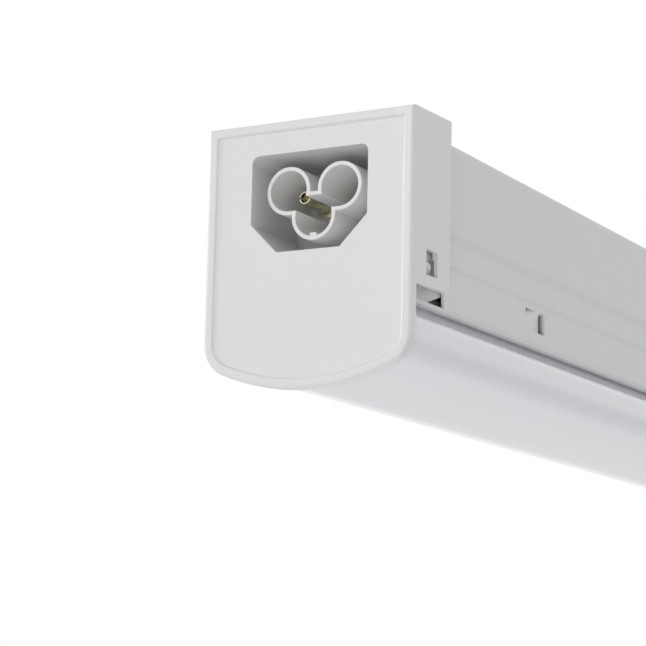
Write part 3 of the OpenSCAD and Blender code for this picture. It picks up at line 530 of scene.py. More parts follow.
@dataclass(frozen=True)
class Winding:
    """Enamelled wire or tape wound round a core, with painted shade in the grooves between the turns."""

    name: str
    colour: Colour
    turn_mm: float
    metallic: float
    turn_scale: float = 0.314
    turn_depth_mm: float = 0.1

    def material(self) -> bpy.types.Material:
        """Builds the material."""
        graph = Graph(self.name)
        graph.constants(Metallic=self.metallic, Coat_Weight=0.4)
        turns = graph.tree.nodes.new("ShaderNodeTexWave")
        turns.bands_direction = "DIAGONAL"
        graph.feed(turns, "Vector", graph.place)
        graph.feed(turns, "Scale", self.turn_scale / (self.turn_mm * MM))
        graph.feed(turns, "Distortion", 0.6)
        # Painted shade: the colour darkens to 0.6 of itself in the grooves between the turns, where the bump
        # is low
        colour = graph.tint(turns.outputs["Fac"], self.colour, (0.6, 1.0))
        rough = graph.between(graph.noise(2.0), 0.28, 0.45)
        return graph.done(colour, rough, graph.relief(turns.outputs["Fac"], self.turn_depth_mm, 0.8))


@dataclass(frozen=True)
class SleevedCan:
    """An aluminium can in a dark shrink sleeve, bare on its top."""

    name: str
    sleeve: Colour
    can: Colour

    def material(self) -> bpy.types.Material:
        """Builds the material."""
        graph = Graph(self.name)
        top = graph.step(graph.facing()[2], 0.9, 0.05)
        colour = graph.blend(top, self.sleeve, self.can)
        rough = graph.between(graph.noise(1.5, 3.0), 0.25, 0.42)
        return graph.done(colour, rough, graph.relief(graph.noise(0.5), 0.01, 0.4))


class Palette(Enum):
    """Every finish on the fixture, each with the slot that it is known by."""

    CAP = (MouldedPlastic("cap_abs", (0.83, 0.83, 0.83), 0.35, grain_depth_mm=0.004, coat=0.2),
           "cap_plastic")
    INSERT = (MouldedPlastic("insert_nylon", (0.86, 0.86, 0.86), 0.36, grain_depth_mm=0.004, coat=0.12),
              "insert_plastic")
    ENAMEL = (PowderCoat("white_enamel", (0.80, 0.80, 0.80)), "enamel")
    OPAL = (OpalPlastic("opal_cover", (0.89, 0.89, 0.95)), "opal")
    BRASS = (Metal("drawn_brass", (0.74, 0.71, 0.52), (0.42, 0.40, 0.28), 0.24, patch=0.3), "brass")
    ZINC = (Metal("zinc_plate", (0.62, 0.63, 0.65), (0.42, 0.42, 0.44), 0.34), "zinc")
    SOLDER = (Metal("solder", (0.66, 0.66, 0.67), (0.48, 0.48, 0.48), 0.3), "tinned_copper")
    TIN = (Metal("tinned_copper", (0.66, 0.64, 0.6), (0.45, 0.42, 0.38), 0.38), "tinned_copper")
    STRANDS = (Metal("copper_strands", (0.72, 0.32, 0.16), (0.4, 0.18, 0.1), 0.32), "copper")
    BOARD_WHITE = (CircuitLaminate("led_board", (0.78, 0.78, 0.76), (0.5, 0.46, 0.3), 16.0, 3.4),
                   "board_white")
    BOARD_GREEN = (CircuitLaminate("driver_laminate", (0.03, 0.14, 0.06), (0.4, 0.42, 0.25), 9.0, 1.8),
                   "board_green")
    PHOSPHOR = (MouldedPlastic("led_phosphor", (0.80, 0.62, 0.12), 0.12, grain_mm=0.1, flow=0.05,
                               coat=0.6), "led_yellow")
    LED_FRAME = (MouldedPlastic("led_frame", (0.80, 0.80, 0.78), 0.3, grain_mm=0.1), "led_yellow")
    DRIVER = (MouldedPlastic("driver_housing", (0.60, 0.60, 0.57), 0.5, grain_mm=0.5, grain_depth_mm=0.02),
              "driver_plastic")
    TERMINAL = (MouldedPlastic("terminal_nylon", (0.42, 0.43, 0.44), 0.42), "terminal_grey")
    IVORY = (MouldedPlastic("ivory_nylon", (0.72, 0.68, 0.52), 0.4), "connector_ivory")
    RUBBER = (MouldedPlastic("soft_rubber", (0.02, 0.02, 0.02), 0.7, grain_mm=0.25, grain_depth_mm=0.02),
              "grommet_rubber")
    EPOXY = (MouldedPlastic("chip_epoxy", (0.02, 0.02, 0.022), 0.5, grain_mm=0.15, grain_depth_mm=0.01),
             "chip_black")
    FERRITE = (Winding("taped_ferrite", (0.10, 0.09, 0.075), 1.6, 0.0), "ferrite")
    COPPER = (Winding("enamelled_copper", (0.62, 0.26, 0.1), 0.6, 1.0), "copper")
    CAPACITOR = (SleevedCan("capacitor_can", (0.015, 0.02, 0.05), (0.6, 0.6, 0.62)), "capacitor_sleeve")
    WIRE_BLACK = (Insulation("wire_black", (0.02, 0.02, 0.02)), "wire_black")
    WIRE_WHITE = (Insulation("wire_white", (0.7, 0.7, 0.68)), "wire_white")
    WIRE_GREEN = (Insulation("wire_green", (0.02, 0.22, 0.07)), "wire_green")
    LEAD_RED = (Insulation("lead_red", (0.45, 0.02, 0.02)), "lead_red")

    @property
    def title(self) -> str:
        """Name of this finish's material."""
        return self.value[0].name

    @property
    def slot(self) -> str:
        """Name of the slot that this finish is known by."""
        return self.value[1]

    @property
    def paint(self) -> bpy.types.Material:
        """This finish's material, made on first use."""
        return bpy.data.materials.get(self.title) or self.value[0].material()


# Making and fitting pieces

# Points of a carried-over solid that lie this close are one, and faces that turn by less are one face
WELD_MM = 0.002
FLAT_DEG = 0.5


@dataclass(frozen=True)
class Edge:
    """How the edges of a piece are eased: the radius, the steps and the angle that counts."""

    radius_mm: float = 0.25
    steps: int = 3
    angle_deg: float = 38.0
    face_weight: int = 90


def ease(piece: bpy.types.Object, edge: Edge) -> None:
    """Rounds a piece's sharp edges and evens its shading.

    Args:
        piece: The piece.
        edge: How its edges are eased.
    """
    bevel = piece.modifiers.new("eased_edges", "BEVEL")
    bevel.width = edge.radius_mm * MM
    bevel.segments = edge.steps
    bevel.limit_method = "ANGLE"
    bevel.angle_limit = math.radians(edge.angle_deg)
    bevel.harden_normals = False
    weigh = piece.modifiers.new("plain_shading", "WEIGHTED_NORMAL")
    weigh.keep_sharp = False
    weigh.weight = edge.face_weight


def dress(node: bpy.types.Object, finish: Palette) -> None:
    """Gives a solid that keeps its shape a finish, and eases its edges.

    Args:
        node: The solid's object.
        finish: The finish.
    """
    node.data.materials.clear()
    node.data.materials.append(finish.paint)
    node.data.polygons.foreach_set("material_index", [0] * len(node.data.polygons))
    weld = node.modifiers.new("weld", "WELD")
    weld.merge_threshold = WELD_MM * MM
    plain = node.modifiers.new("plain_faces", "DECIMATE")
    plain.decimate_type = "DISSOLVE"
    plain.angle_limit = math.radians(FLAT_DEG)
    ease(node, Edge())
    log.info("dressed %s in %s", node.name, finish.title)


def eased(corners: Sequence[Corner], closed: bool = True, steps: int = 6) -> list[Flat]:
    """Rounds the corners of an outline.

    Args:
        corners: Each corner as (x, z, radius).
        closed: Whether the outline closes on itself.
        steps: Lines in each rounded corner.

    Returns:
        The rounded outline's points.
    """
    points: list[Flat] = []
    count = len(corners)
    for i, (x, z, radius) in enumerate(corners):
        if radius <= 0 or (not closed and i in (0, count - 1)):
            points.append((x, z))
            continue
        corner = Vector((x, z))
        back = (Vector(corners[i - 1][:2]) - corner).normalized()
        ahead = (Vector(corners[(i + 1) % count][:2]) - corner).normalized()
        half = back.angle(ahead) / 2
        centre = corner + (back + ahead).normalized() * radius / math.sin(half)
        first = (corner + back * radius / math.tan(half) - centre).normalized()
        last = (corner + ahead * radius / math.tan(half) - centre).normalized()
        spread = first.angle(last)
        for k in range(steps + 1):
            turn = k / steps
            way = (first * math.sin((1 - turn) * spread) + last * math.sin(turn * spread)) / math.sin(spread)
            points.append(tuple(centre + way * radius))
    return points


def arc(centre: Flat, radius: float, start_deg: float, end_deg: float, steps: int) -> list[Flat]:
    """Points along an arc.

    Args:
        centre: The arc's centre.
        radius: Its radius.
        start_deg: Where it starts.
        end_deg: Where it ends.
        steps: Lines along it.

    Returns:
        The points, both ends among them.
    """
    turns = (math.radians(start_deg + (end_deg - start_deg) * k / steps) for k in range(steps + 1))
    return [(centre[0] + radius * math.cos(a), centre[1] + radius * math.sin(a)) for a in turns]


def beside(path: Sequence[Flat], distance: float) -> list[Flat]:
    """A path moved sideways by one distance, to the right of its run.

    Args:
        path: An open path.
        distance: How far to move it.

    Returns:
        The moved path, point for point.
    """
    moved = []
    for i, point in enumerate(path):
        here = Vector(point)
        before = (here - Vector(path[i - 1])).normalized() if i else None
        after = (Vector(path[i + 1]) - here).normalized() if i < len(path) - 1 else None
        run = ((before or after) + (after or before)).normalized()
        lean = run.dot(after or before)
        moved.append((here.x + run.y * distance / lean, here.y - run.x * distance / lean))
    return moved


def softened(route: Sequence[Point], times: int = 4, cut: float = 0.25) -> list[Vector]:
    """Cuts a route's corners again and again and keeps its ends.

    Args:
        route: The route's points.
        times: How often the corners are cut.
        cut: Where each cut lies on the way to the next corner.

    Returns:
        The smooth route.
    """
    points = [Vector(p) for p in route]
    for _ in range(times):
        middle = []
        for before, here, after in zip(points, points[1:], points[2:]):
            middle += [here * (1 - cut) + before * cut, here * (1 - cut) + after * cut]
        points = [points[0], *middle, points[-1]]
    return points


# A turned form closes to a point where its outline comes this near to its axis
ON_AXIS = 1e-6


class Shape:
    """A mesh in the making, in millimetres."""

    def __init__(self) -> None:
        """Starts an empty mesh."""
        self.bm = bmesh.new()

    def ring(self, points: Iterable[Sequence[float]]) -> list[bmesh.types.BMVert]:
        """Adds a row of points."""
        return [self.bm.verts.new(p) for p in points]

    def bridge(self, first: list, second: list, closed: bool = True) -> None:
        """Joins two rows of points with a band of faces.

        Args:
            first: One row.
            second: The other row, of the same length.
            closed: Whether the rows close on themselves.
        """
        count = len(first)
        for i in range(count if closed else count - 1):
            j = (i + 1) % count
            self.bm.faces.new((first[i], first[j], second[j], second[i]))

    def loft(self, rows: Sequence[list]) -> None:
        """Joins rows of points one after another and closes the first and the last one.

        Args:
            rows: The rows, all of the same length.
        """
        for first, second in zip(rows, rows[1:]):
            self.bridge(first, second)
        self.bm.faces.new(rows[0][::-1])
        self.bm.faces.new(rows[-1])

    def hoop(self, middle: Vector, side: Vector, depth: Vector, radius: float,
             steps: int) -> list[bmesh.types.BMVert]:
        """Adds a round row of points.

        Args:
            middle: Its middle.
            side: One way across it.
            depth: The way across it that is square to the first.
            radius: Its radius.
            steps: How many points it has.

        Returns:
            The points.
        """
        turns = (2 * math.pi * k / steps for k in range(steps))
        return self.ring(middle + (side * math.cos(a) + depth * math.sin(a)) * radius for a in turns)

    def bar(self, section: Sequence[Flat], start: float, end: float) -> None:
        """Adds a closed section that runs along Y.

        Args:
            section: The outline in X and Z.
            start: Where it starts along Y.
            end: Where it ends.
        """
        near = self.ring((x, start, z) for x, z in section)
        far = self.ring((x, end, z) for x, z in section)
        self.bridge(near, far)
        caps = [self.bm.faces.new(near[::-1]), self.bm.faces.new(far)]
        bmesh.ops.triangulate(self.bm, faces=caps, ngon_method="EAR_CLIP")

    def strip(self, path: Sequence[Flat], thickness: float, start: float, end: float) -> None:
        """Adds folded sheet that runs along Y.

        Args:
            path: The outer face's path in X and Z.
            thickness: The sheet's thickness, to the right of the path's run.
            start: Where it starts along Y.
            end: Where it ends.
        """
        inner = beside(path, thickness)
        rows = [self.ring((x, y, z) for x, z in side) for side in (path, inner) for y in (start, end)]
        outer_near, outer_far, inner_near, inner_far = rows
        self.bridge(outer_far, outer_near, False)
        self.bridge(inner_near, inner_far, False)
        self.bridge(outer_near, inner_near, False)
        self.bridge(inner_far, outer_far, False)
        for i in (0, -1):
            face = (outer_near[i], outer_far[i], inner_far[i], inner_near[i])
            self.bm.faces.new(face if i == 0 else face[::-1])

    def turned(self, outline: Sequence[Flat], place: Point, axis: Point, steps: int = 32) -> None:
        """Adds a turned form.

        Args:
            outline: Points as (radius, height), from one end of the form to the other.
            place: Where height 0 lies.
            axis: The way that height grows.
            steps: Facets round it.
        """
        up = Vector(axis).normalized()
        side = up.orthogonal().normalized()
        depth = up.cross(side)
        rows: list[list[bmesh.types.BMVert]] = []
        for radius, height in outline:
            middle = Vector(place) + up * height
            if radius < ON_AXIS:
                rows.append(self.ring([middle]))
            else:
                rows.append(self.hoop(middle, side, depth, radius, steps))
        for first, second in zip(rows, rows[1:]):
            if len(first) == len(second) == steps:
                self.bridge(first, second)
            elif len(first) != len(second):
                tip, rim = (first[0], second) if len(first) == 1 else (second[0], first)
                for i, vert in enumerate(rim):
                    self.bm.faces.new((tip, vert, rim[(i + 1) % steps]))

    def pin(self, place: Point, radius: float, low: float, high: float, steps: int) -> None:
        """Adds an upright pin, such as a round hole is cut with.

        Args:
            place: The pin's place, at height 0.
            radius: Its radius.
            low: Its lower end.
            high: Its upper end.
            steps: Facets round it.
        """
        self.turned([(0, low), (radius, low), (radius, high), (0, high)], place, (0, 0, 1), steps)

    def tube(self, route: Sequence[Vector], radius: float, sides: int = 12) -> None:
        """Adds a round wire along a route.

        Args:
            route: The wire's middle line.
            radius: The wire's radius.
            sides: Facets round it.
        """
        side = (route[1] - route[0]).orthogonal().normalized()
        rows = []
        for i, point in enumerate(route):
            run = (route[min(i + 1, len(route) - 1)] - route[max(i - 1, 0)]).normalized()
            side = (side - run * side.dot(run)).normalized()
            rows.append(self.hoop(point, side, run.cross(side), radius, sides))
        self.loft(rows)

    def block(self, xs: Sequence[float], ys: Sequence[float], zs: Sequence[float],
              ease_mm: float = 0.0) -> None:
        """Adds a block with rounded edges.

        Args:
            xs: Its two ends along X, in either order.
            ys: Its two ends along Y, in either order.
            zs: Its two ends along Z, in either order.
            ease_mm: The rounding of its edges.
        """
        made = bmesh.ops.create_cube(self.bm, size=1.0)["verts"]
        spans = [sorted(span) for span in (xs, ys, zs)]
        for vert in made:
            vert.co = Vector([span[0] if value < 0 else span[1] for span, value in zip(spans, vert.co)])
        if ease_mm:
            edges = list(dict.fromkeys(e for v in made for e in v.link_edges))
            bmesh.ops.bevel(self.bm, geom=edges, offset=ease_mm, segments=2, profile=0.5, affect="EDGES")

    def sheet_patch(self, rows: Sequence[Sequence[Point]], thickness: Point) -> None:
        """Adds a pressed patch of sheet, closed round its rim.

        Args:
            rows: A grid of points on its outer face.
            thickness: The step from the outer face to the inner face.
        """
        step = Vector(thickness)
        outer = [self.ring(row) for row in rows]
        inner = [self.ring(Vector(p) + step for p in row) for row in rows]
        for grid, turn in ((outer, 1), (inner, -1)):
            for first, second in zip(grid, grid[1:]):
                self.bridge(first[::turn], second[::turn], False)
        rims = (([r[0] for r in outer], [r[0] for r in inner]),
                ([r[-1] for r in inner], [r[-1] for r in outer]),
                (inner[0], outer[0]), (outer[-1], inner[-1]))
        for first, second in rims:
            self.bridge(first, second, False)

    def made(self, name: str) -> bpy.types.Object:
        """Turns the mesh into an object in metres.

        Args:
            name: The object's name.

        Returns:
            The object.
        """
        bmesh.ops.recalc_face_normals(self.bm, faces=self.bm.faces)
        bmesh.ops.scale(self.bm, vec=(MM, MM, MM), verts=self.bm.verts)
        mesh = bpy.data.meshes.new(name)
        self.bm.to_mesh(mesh)
        self.bm.free()
        mesh.shade_smooth()
        mesh.set_sharp_from_angle(angle=math.radians(SHARP_DEG))
        piece = bpy.data.objects.new(name, mesh)
        bpy.context.scene.collection.objects.link(piece)
        return piece


def carve(piece: bpy.types.Object, cutter: Shape, how: str = "DIFFERENCE") -> None:
    """Cuts a shape out of a piece, or melts it in, and keeps the result as its mesh.

    Args:
        piece: The piece.
        cutter: The other shape.
        how: DIFFERENCE to cut it away, UNION to melt it in.
    """
    tool = cutter.made("cutter")
    cut = piece.modifiers.new("cut", "BOOLEAN")
    cut.operation = how
    cut.solver = "EXACT"
    cut.object = tool
    view = bpy.context.evaluated_depsgraph_get()
    mesh = bpy.data.meshes.new_from_object(piece.evaluated_get(view))
    piece.modifiers.clear()
    piece.data = mesh
    mesh.set_sharp_from_angle(angle=math.radians(SHARP_DEG))
    bpy.data.objects.remove(tool)


def unite(piece: bpy.types.Object, extra: Shape) -> None:
    """Melts a shape into a piece."""
    carve(piece, extra, "UNION")


def join(piece: bpy.types.Object, extra: bpy.types.Object) -> None:
    """Adds one mesh to another and removes the first one's object.

    Args:
        piece: The piece that grows.
        extra: What is added to it.
    """
    bm = bmesh.new()
    bm.from_mesh(piece.data)
    bm.from_mesh(extra.data)
    bm.to_mesh(piece.data)
    bm.free()
    bpy.data.objects.remove(extra)


def fit(piece: bpy.types.Object, finish: Palette, body: str | None, stands_for: Iterable[str] = (),
        edge: Edge | None = None) -> bpy.types.Object:
    """Paints a new piece, eases it and seats it on its body.

    Args:
        piece: The piece.
        finish: Its finish.
        body: The body that it rides on, or None to seat it on no body.
        stands_for: The solids that it stands for.
        edge: How its edges are eased, or None to leave them.

    Returns:
        The piece.
    """
    piece.data.materials.append(finish.paint)
    if edge is not None:
        ease(piece, edge)
    if body:
        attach(piece, body)
    if stands_for:
        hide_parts(*stands_for)
    log.info("fitted %s in %s", piece.name, finish.title)
    return piece


# End caps


@dataclass
class EndCap:
    """A moulded cap: its face with the raised border, the skirt round the channel and the socket's pocket.

    Depths are behind the face, and heights are below the cap's top. The border is given in steps of
    (inset, depth) from the outer edge to the sunk panel. The window is given as the depth where it
    starts, its length and its middle height, the dimple's groove as its height and half its width, and
    the recess as half its width and the height of its upper edge.
    """

    end: End
    half: float = 30.0
    corner: Flat = (21.0, -56.91)
    corner_r: float = 9.0
    arc_z: float = -5.0
    arc_r: float = 65.0
    border: Sequence[Flat] = (
        (0.0, 3.0), (0.0, 0.95), (0.06, 0.66), (0.22, 0.36), (0.46, 0.13), (0.78, 0.0), (2.1, 0.0),
        (2.28, 0.03), (2.44, 0.12), (2.56, 0.26), (2.64, 0.42), (2.72, 0.56), (2.84, 0.66), (3.02, 0.7))
    root: float = 1.0
    skirt: Flat = (19.5, 45.0)
    skirt_x: float = 29.15
    skirt_r: float = 2.0
    draft: float = 0.9
    roof_t: float = 1.8
    ribs: Sequence[float] = (-21.0, -7.0, 7.0, 21.0)
    rib_half: float = 0.65
    rib_z: Flat = (-4.0, -0.9)
    plate: float = 2.9
    window: Point = (7.5, 5.7, 38.8)
    window_h: float = 6.5
    dimple: Flat = (39.4, 2.15)
    groove_x: float = 29.6
    recess: Flat = (17.0, 8.5)
    recess_foot: float = 34.4
    recess_cut: float = 7.8
    recess_r: float = 2.0
    cut_r: float = 0.5
    depth: float = 24.0
    wall: float = 1.3

    def outline(self, inset: float) -> list[Flat]:
        """The cap's outline.

        Args:
            inset: How far inside the outer edge.

        Returns:
            The points, clockwise from the upper left corner.
        """
        x, z = self.corner
        meet = math.degrees(math.atan2(z - self.arc_z, x))
        side = self.half - inset
        top = [(-side + 2 * side * k / 8, -inset) for k in range(9)]
        down = [(side, -inset + (z + inset) * k / 6) for k in range(1, 6)]
        right = arc((x, z), self.corner_r - inset, 0, meet, 10)
        foot = arc((0, self.arc_z), self.arc_r - inset, meet, -180 - meet, 28)[1:-1]
        left = arc((-x, z), self.corner_r - inset, -180 - meet, -180, 10)
        up = [(-a, b) for a, b in reversed(down)]
        return [*top, *down, *right, *foot, *left, *up]

    def pocket(self, grow: float) -> list[Flat]:
        """The recess's outline.

        Args:
            grow: How far outside the recess's walls.

        Returns:
            The points.
        """
        half, top = self.recess[0] + grow, grow - self.recess[1]
        foot = -self.recess_foot - grow
        cut = self.recess_cut + grow - grow * math.tan(math.radians(22.5))
        radius = self.recess_r + grow
        return eased([(-half, top, radius), (half, top, radius), (half, foot + cut, self.cut_r),
                      (half - cut, foot, self.cut_r), (cut - half, foot, self.cut_r),
                      (-half, foot + cut, self.cut_r)])

    def lean(self, depth: float) -> float:
        """Across place of the skirt's outer face, which leans out to the back."""
        return self.half + self.draft * depth / self.skirt[0]

    def face(self) -> Shape:
        """The face plate: an eased outer edge, a border with soft edges and a sunk panel."""
        shape = Shape()
        shape.loft([shape.ring((x, y, z) for x, z in self.outline(inset)) for inset, y in self.border])
        return shape

    def slab(self, side: int) -> Shape:
        """One side of the skirt.

        Args:
            side: 1 for the right-hand side, -1 for the left.

        Returns:
            The shape.
        """
        reach, drop = self.skirt
        points = eased(((self.root, 0.0, 0), (reach, 0.0, 0), (reach, -drop, self.skirt_r),
                        (self.root, -drop, 0)))
        shape = Shape()
        shape.loft([shape.ring((side * self.skirt_x, y, z) for y, z in points),
                    shape.ring((side * self.lean(y), y, z) for y, z in points)])
        return shape

    def roof(self) -> Shape:
        """The skirt's top, which widens to the back."""
        shape = Shape()
        rim = [(side * self.lean(y), y) for side, y in
               ((-1, self.root), (1, self.root), (1, self.skirt[0]), (-1, self.skirt[0]))]
        shape.loft([shape.ring((x, y, z) for x, y in rim) for z in (-self.roof_t, 0.0)])
        return shape

    def rib(self, x: float) -> Shape:
        """A rib under the skirt's top."""
        shape = Shape()
        shape.block((x - self.rib_half, x + self.rib_half), (self.plate, self.skirt[0]), self.rib_z)
        return shape

    def tunnel(self, grow: float, start: float, end: float) -> Shape:
        """The recess as a block.

        Args:
            grow: How far outside the recess's walls.
            start: Its front, behind the face.
            end: Its back.

        Returns:
            The shape.
        """
        shape = Shape()
        shape.bar(self.pocket(grow), start, end)
        return shape

    def cuts(self, side: int) -> tuple[Shape, Shape]:
        """The snap window in one side of the skirt, and the groove that lets the dimple in.

        Args:
            side: 1 for the right-hand side, -1 for the left.

        Returns:
            The window and the groove.
        """
        start, length, middle = self.window
        centre, free = self.dimple
        inner = side * (self.skirt_x - 1)
        window, groove = Shape(), Shape()
        window.block((inner, side * (self.half + 4)), (start, start + length),
                     (-middle - self.window_h / 2, self.window_h / 2 - middle))
        groove.block((inner, side * self.groove_x), (start + length - 1, self.skirt[0] + 1),
                     (-centre - free, free - centre))
        return window, groove

    def build(self) -> None:
        """Moulds the cap."""
        cap = self.face().made("face")
        walls = [self.slab(-1), self.slab(1), self.roof(), *(self.rib(x) for x in self.ribs),
                 self.tunnel(self.wall, self.plate, self.depth)]
        for extra in walls:
            unite(cap, extra)
        for cutter in (self.tunnel(0.0, -1.0, self.depth + 1), *self.cuts(-1), *self.cuts(1)):
            carve(cap, cutter)
        turn = Matrix.Rotation(math.pi if self.end is End.FAR else 0.0, 4, "Z")
        cap.data.transform(turn @ Matrix.Translation((0, -END_Y * MM, CAP_RISE * MM)))
        cap.name = f"{self.end.title}_cap_moulding"
        fit(cap, Palette.CAP, self.end.body, (f"{self.end.title}_end_cap",), Edge(0.22, 3, 40))


@dataclass
class ContactSleeve:
    """A rolled contact sleeve: two fingers that close in towards a small flare.

    The foot and the crimp barrel are given as (radius, height), the fingers as (radius, distance
    behind the open end), and the wings as their places across, along and up from the barrel's axis.
    """

    pole: Pole
    reach: float
    wall: float = 0.32
    base: float = -573.5
    plate: float = 2.5
    foot: Sequence[Flat] = ((1.85, 0.0), (3.0, 0.0), (3.0, 0.8), (1.95, 0.8))
    fingers: Sequence[Flat] = ((1.92, 6.0), (1.8, 4.0), (1.5, 2.0), (1.42, 1.3), (1.45, 0.8), (1.62, 0.2),
                               (1.64, 0.0))
    bore: Flat = (1.5, 1.2)
    slit_from: float = 3.0
    slit_half: float = 0.24
    barrel_at: float = 9.0
    barrel: Sequence[Flat] = (
        (1.35, 0.0), (1.85, 0.0), (1.85, 1.4), (1.62, 2.2), (1.62, 4.4), (1.85, 5.2), (1.85, 9.05),
        (2.0, 9.1), (0.0, 9.1), (0.0, 6.0), (1.35, 5.9), (1.35, 0.0))
    wing_x: Flat = (0.05, 0.75)
    wing_y: Flat = (1.6, 6.8)
    wing_z: Flat = (1.25, 1.8)

    def build(self) -> None:
        """Rolls the sleeve, slits it and sets it in the insert."""
        x, z, heel = self.pole.x, self.pole.z, self.base - self.plate
        fingers = [(radius, self.reach - behind) for radius, behind in self.fingers]
        inner = [(radius - self.wall, height) for radius, height in reversed(fingers)]
        outer = [(0.0, -self.plate), (self.foot[0][0], -self.plate), *self.foot, *fingers]
        shape = Shape()
        shape.turned([*outer, *inner, self.bore, (0.0, self.bore[1])], (x, heel, z), (0, -1, 0), 40)
        name = f"near_{self.pole.title}_sleeve"
        sleeve = shape.made(f"{name}_rolled")
        slit = Shape()
        slit.block((x - 3, x + 3), (heel - self.reach - 1, heel - self.slit_from),
                   (z - self.slit_half, z + self.slit_half))
        carve(sleeve, slit)
        join(sleeve, self.crimp().made("barrel"))
        fit(sleeve, Palette.BRASS, End.NEAR.body, (name,), Edge(0.06, 2, 50))

    def crimp(self) -> Shape:
        """The crimp barrel behind the insert, with its two wings rolled in."""
        x, z = self.pole.x, self.pole.z
        shape = Shape()
        shape.turned(self.barrel, (x, self.base + self.barrel_at, z), (0, -1, 0), 32)
        for side in (-1, 1):
            shape.block([x + side * place for place in self.wing_x],
                        [self.base + place for place in self.wing_y],
                        [z + place for place in self.wing_z], 0.2)
        return shape


# Folded steel


@dataclass
class FoldedChannel:
    """The steel channel: its back, its joggled sides and the flanges turned in along their feet.

    The outer face is given from the right flange's lip up to the back, as (x, z, radius). The notch is
    given as the place along Y where it starts, its foot and its top, and the dimple as its distance
    from the middle, its height and its radius. A lance's crease is given as the shares of the lance
    that it takes up along and down and its depth, its root as where the fold starts at the foot, how
    much later it starts at the top and how that grows, and its press as the fold's depth. A lug of it
    is given as how far it starts below the lance's edge and its height.
    """

    reach: float = 596.7
    sheet: float = 0.8
    outer: Sequence[Corner] = (
        (25.0, -44.5, 0), (28.0, -44.5, 1.1), (28.0, -33.1, 1.6), (28.3, -32.0, 1.6), (28.3, -25.9, 3.6),
        (28.9, -23.7, 3.6), (28.9, 0.0, 1.5))
    punch_x: Flat = (26.0, 30.0)
    punch_z: Flat = (-2.0, 1.0)
    notch: Point = (577.8, -43.7, -39.7)
    slot_y: float = 450.0
    slot: Flat = (5.2, 12.0)
    holes: Sequence[Flat] = ((0, -121), (0, 121), (13, -175))
    hole_r: float = 1.45
    lance_from: float = -528.0
    lance_step: float = 347.7667
    lance_count: int = 4
    lance_len: float = 12.7
    lance_grid: tuple[int, int] = (24, 12)
    lance_z: Flat = (-40.4, -34.4)
    slit: float = 1.2
    crease: Point = (0.6, 0.75, 1.9)
    root: Point = (0.48, 0.34, 1.6)
    fold_end: float = 0.96
    fold_power: float = 0.9
    press: float = 1.35
    lug: Flat = (0.35, 0.7)
    lug_from: float = 0.45
    dimple: Point = (588.4, -35.1, 1.85)
    dimple_h: float = 1.3
    dimple_foot: Sequence[Flat] = ((0.12, -0.08), (0.3, -0.2))

    def section(self) -> list[Flat]:
        """The outer face's path, from the left flange's lip over the back to the right one's."""
        left = [(-x, z, r) for x, z, r in self.outer]
        return eased([*left, *reversed(self.outer)], closed=False, steps=5)

    def lances(self) -> list[float]:
        """Where the lances start along Y."""
        return [self.lance_from + k * self.lance_step for k in range(self.lance_count)]

    def build(self) -> None:
        """Folds the channel, punches it, and presses the lances and dimples."""
        blank = Shape()
        blank.strip(self.section(), self.sheet, -self.reach, self.reach)
        channel = blank.made("folded_channel")
        carve(channel, self.punches())
        pressed = Shape()
        for side in (-1, 1):
            for start in self.lances():
                self.lance(pressed, side, start)
            for end in (-1, 1):
                self.snap(pressed, side, end)
        join(channel, pressed.made("pressings"))
        names = ("channel_back", "channel_left_side", "channel_right_side", "channel_left_flange",
                 "channel_right_flange")
        fit(channel, Palette.ENAMEL, "chassis", names, Edge(0.16, 2, 50))

    def punches(self) -> Shape:
        """Everything that is punched out of the sheet.

        Returns:
            The shape to cut away.
        """
        tool = Shape()
        inner, foot, top = self.notch
        for side in (-1, 1):
            across = [side * x for x in self.punch_x]
            for end in (-1, 1):
                tool.block(across, (end * inner, end * (self.reach + 1)), (foot + 0.01, top))
            for start in self.lances():
                tool.block(across, (start, start + self.lance_len), self.lance_z)
        width, length = self.slot
        half = (length - width) / 2
        for y in (-self.slot_y, self.slot_y):
            rim = [*arc((0, y + half), width / 2, 0, 180, 12), *arc((0, y - half), width / 2, 180, 360, 12)]
            tool.loft([tool.ring((px, py, z) for px, py in rim) for z in self.punch_z])
        for x, y in self.holes:
            tool.pin((x, y, 0), self.hole_r, *self.punch_z, 24)
        return tool

    def sink(self, u: float, v: float) -> float:
        """How deep a lance is pressed.

        Args:
            u: Place along the lance, from 0 to 1 at the slit.
            v: Place up the lance, from 0 to 1.

        Returns:
            The depth behind the wall's outer face.
        """
        along, down, deep = self.crease
        near, later, growth = self.root
        crease = max(0.0, 1.0 - u / along - (1 - v) / down)
        root = near + later * v ** growth
        fold = min(1.0, max(0.0, u - root) / (self.fold_end - root))
        return max(deep * crease, self.press * fold ** self.fold_power)

    def lance(self, pressed: Shape, side: int, start: float) -> None:
        """A tongue of the wall pressed in towards an open slit, with a crease at its root.

        Args:
            pressed: The shape that it is added to.
            side: Which wall it is in.
            start: Its end without the slit, along Y.
        """
        wall = self.outer[1][0]
        run = self.lance_len - self.slit
        low, high = self.lance_z
        columns, steps = self.lance_grid
        rows = [[(side * (wall - self.sink(i / columns, j / steps)), start + run * (i / columns),
                  low + (high - low) * (j / steps)) for j in range(steps + 1)] for i in range(columns + 1)]
        pressed.sheet_patch(rows, (-side * self.sheet, 0, 0))
        back = wall - self.press - self.sheet
        drop, height = self.lug
        for z in (low - drop, high - drop):
            pressed.block((side * back, side * (wall - self.sheet + 0.05)),
                          (start + run * self.lug_from, start + self.lance_len), (z, z + height), 0.15)

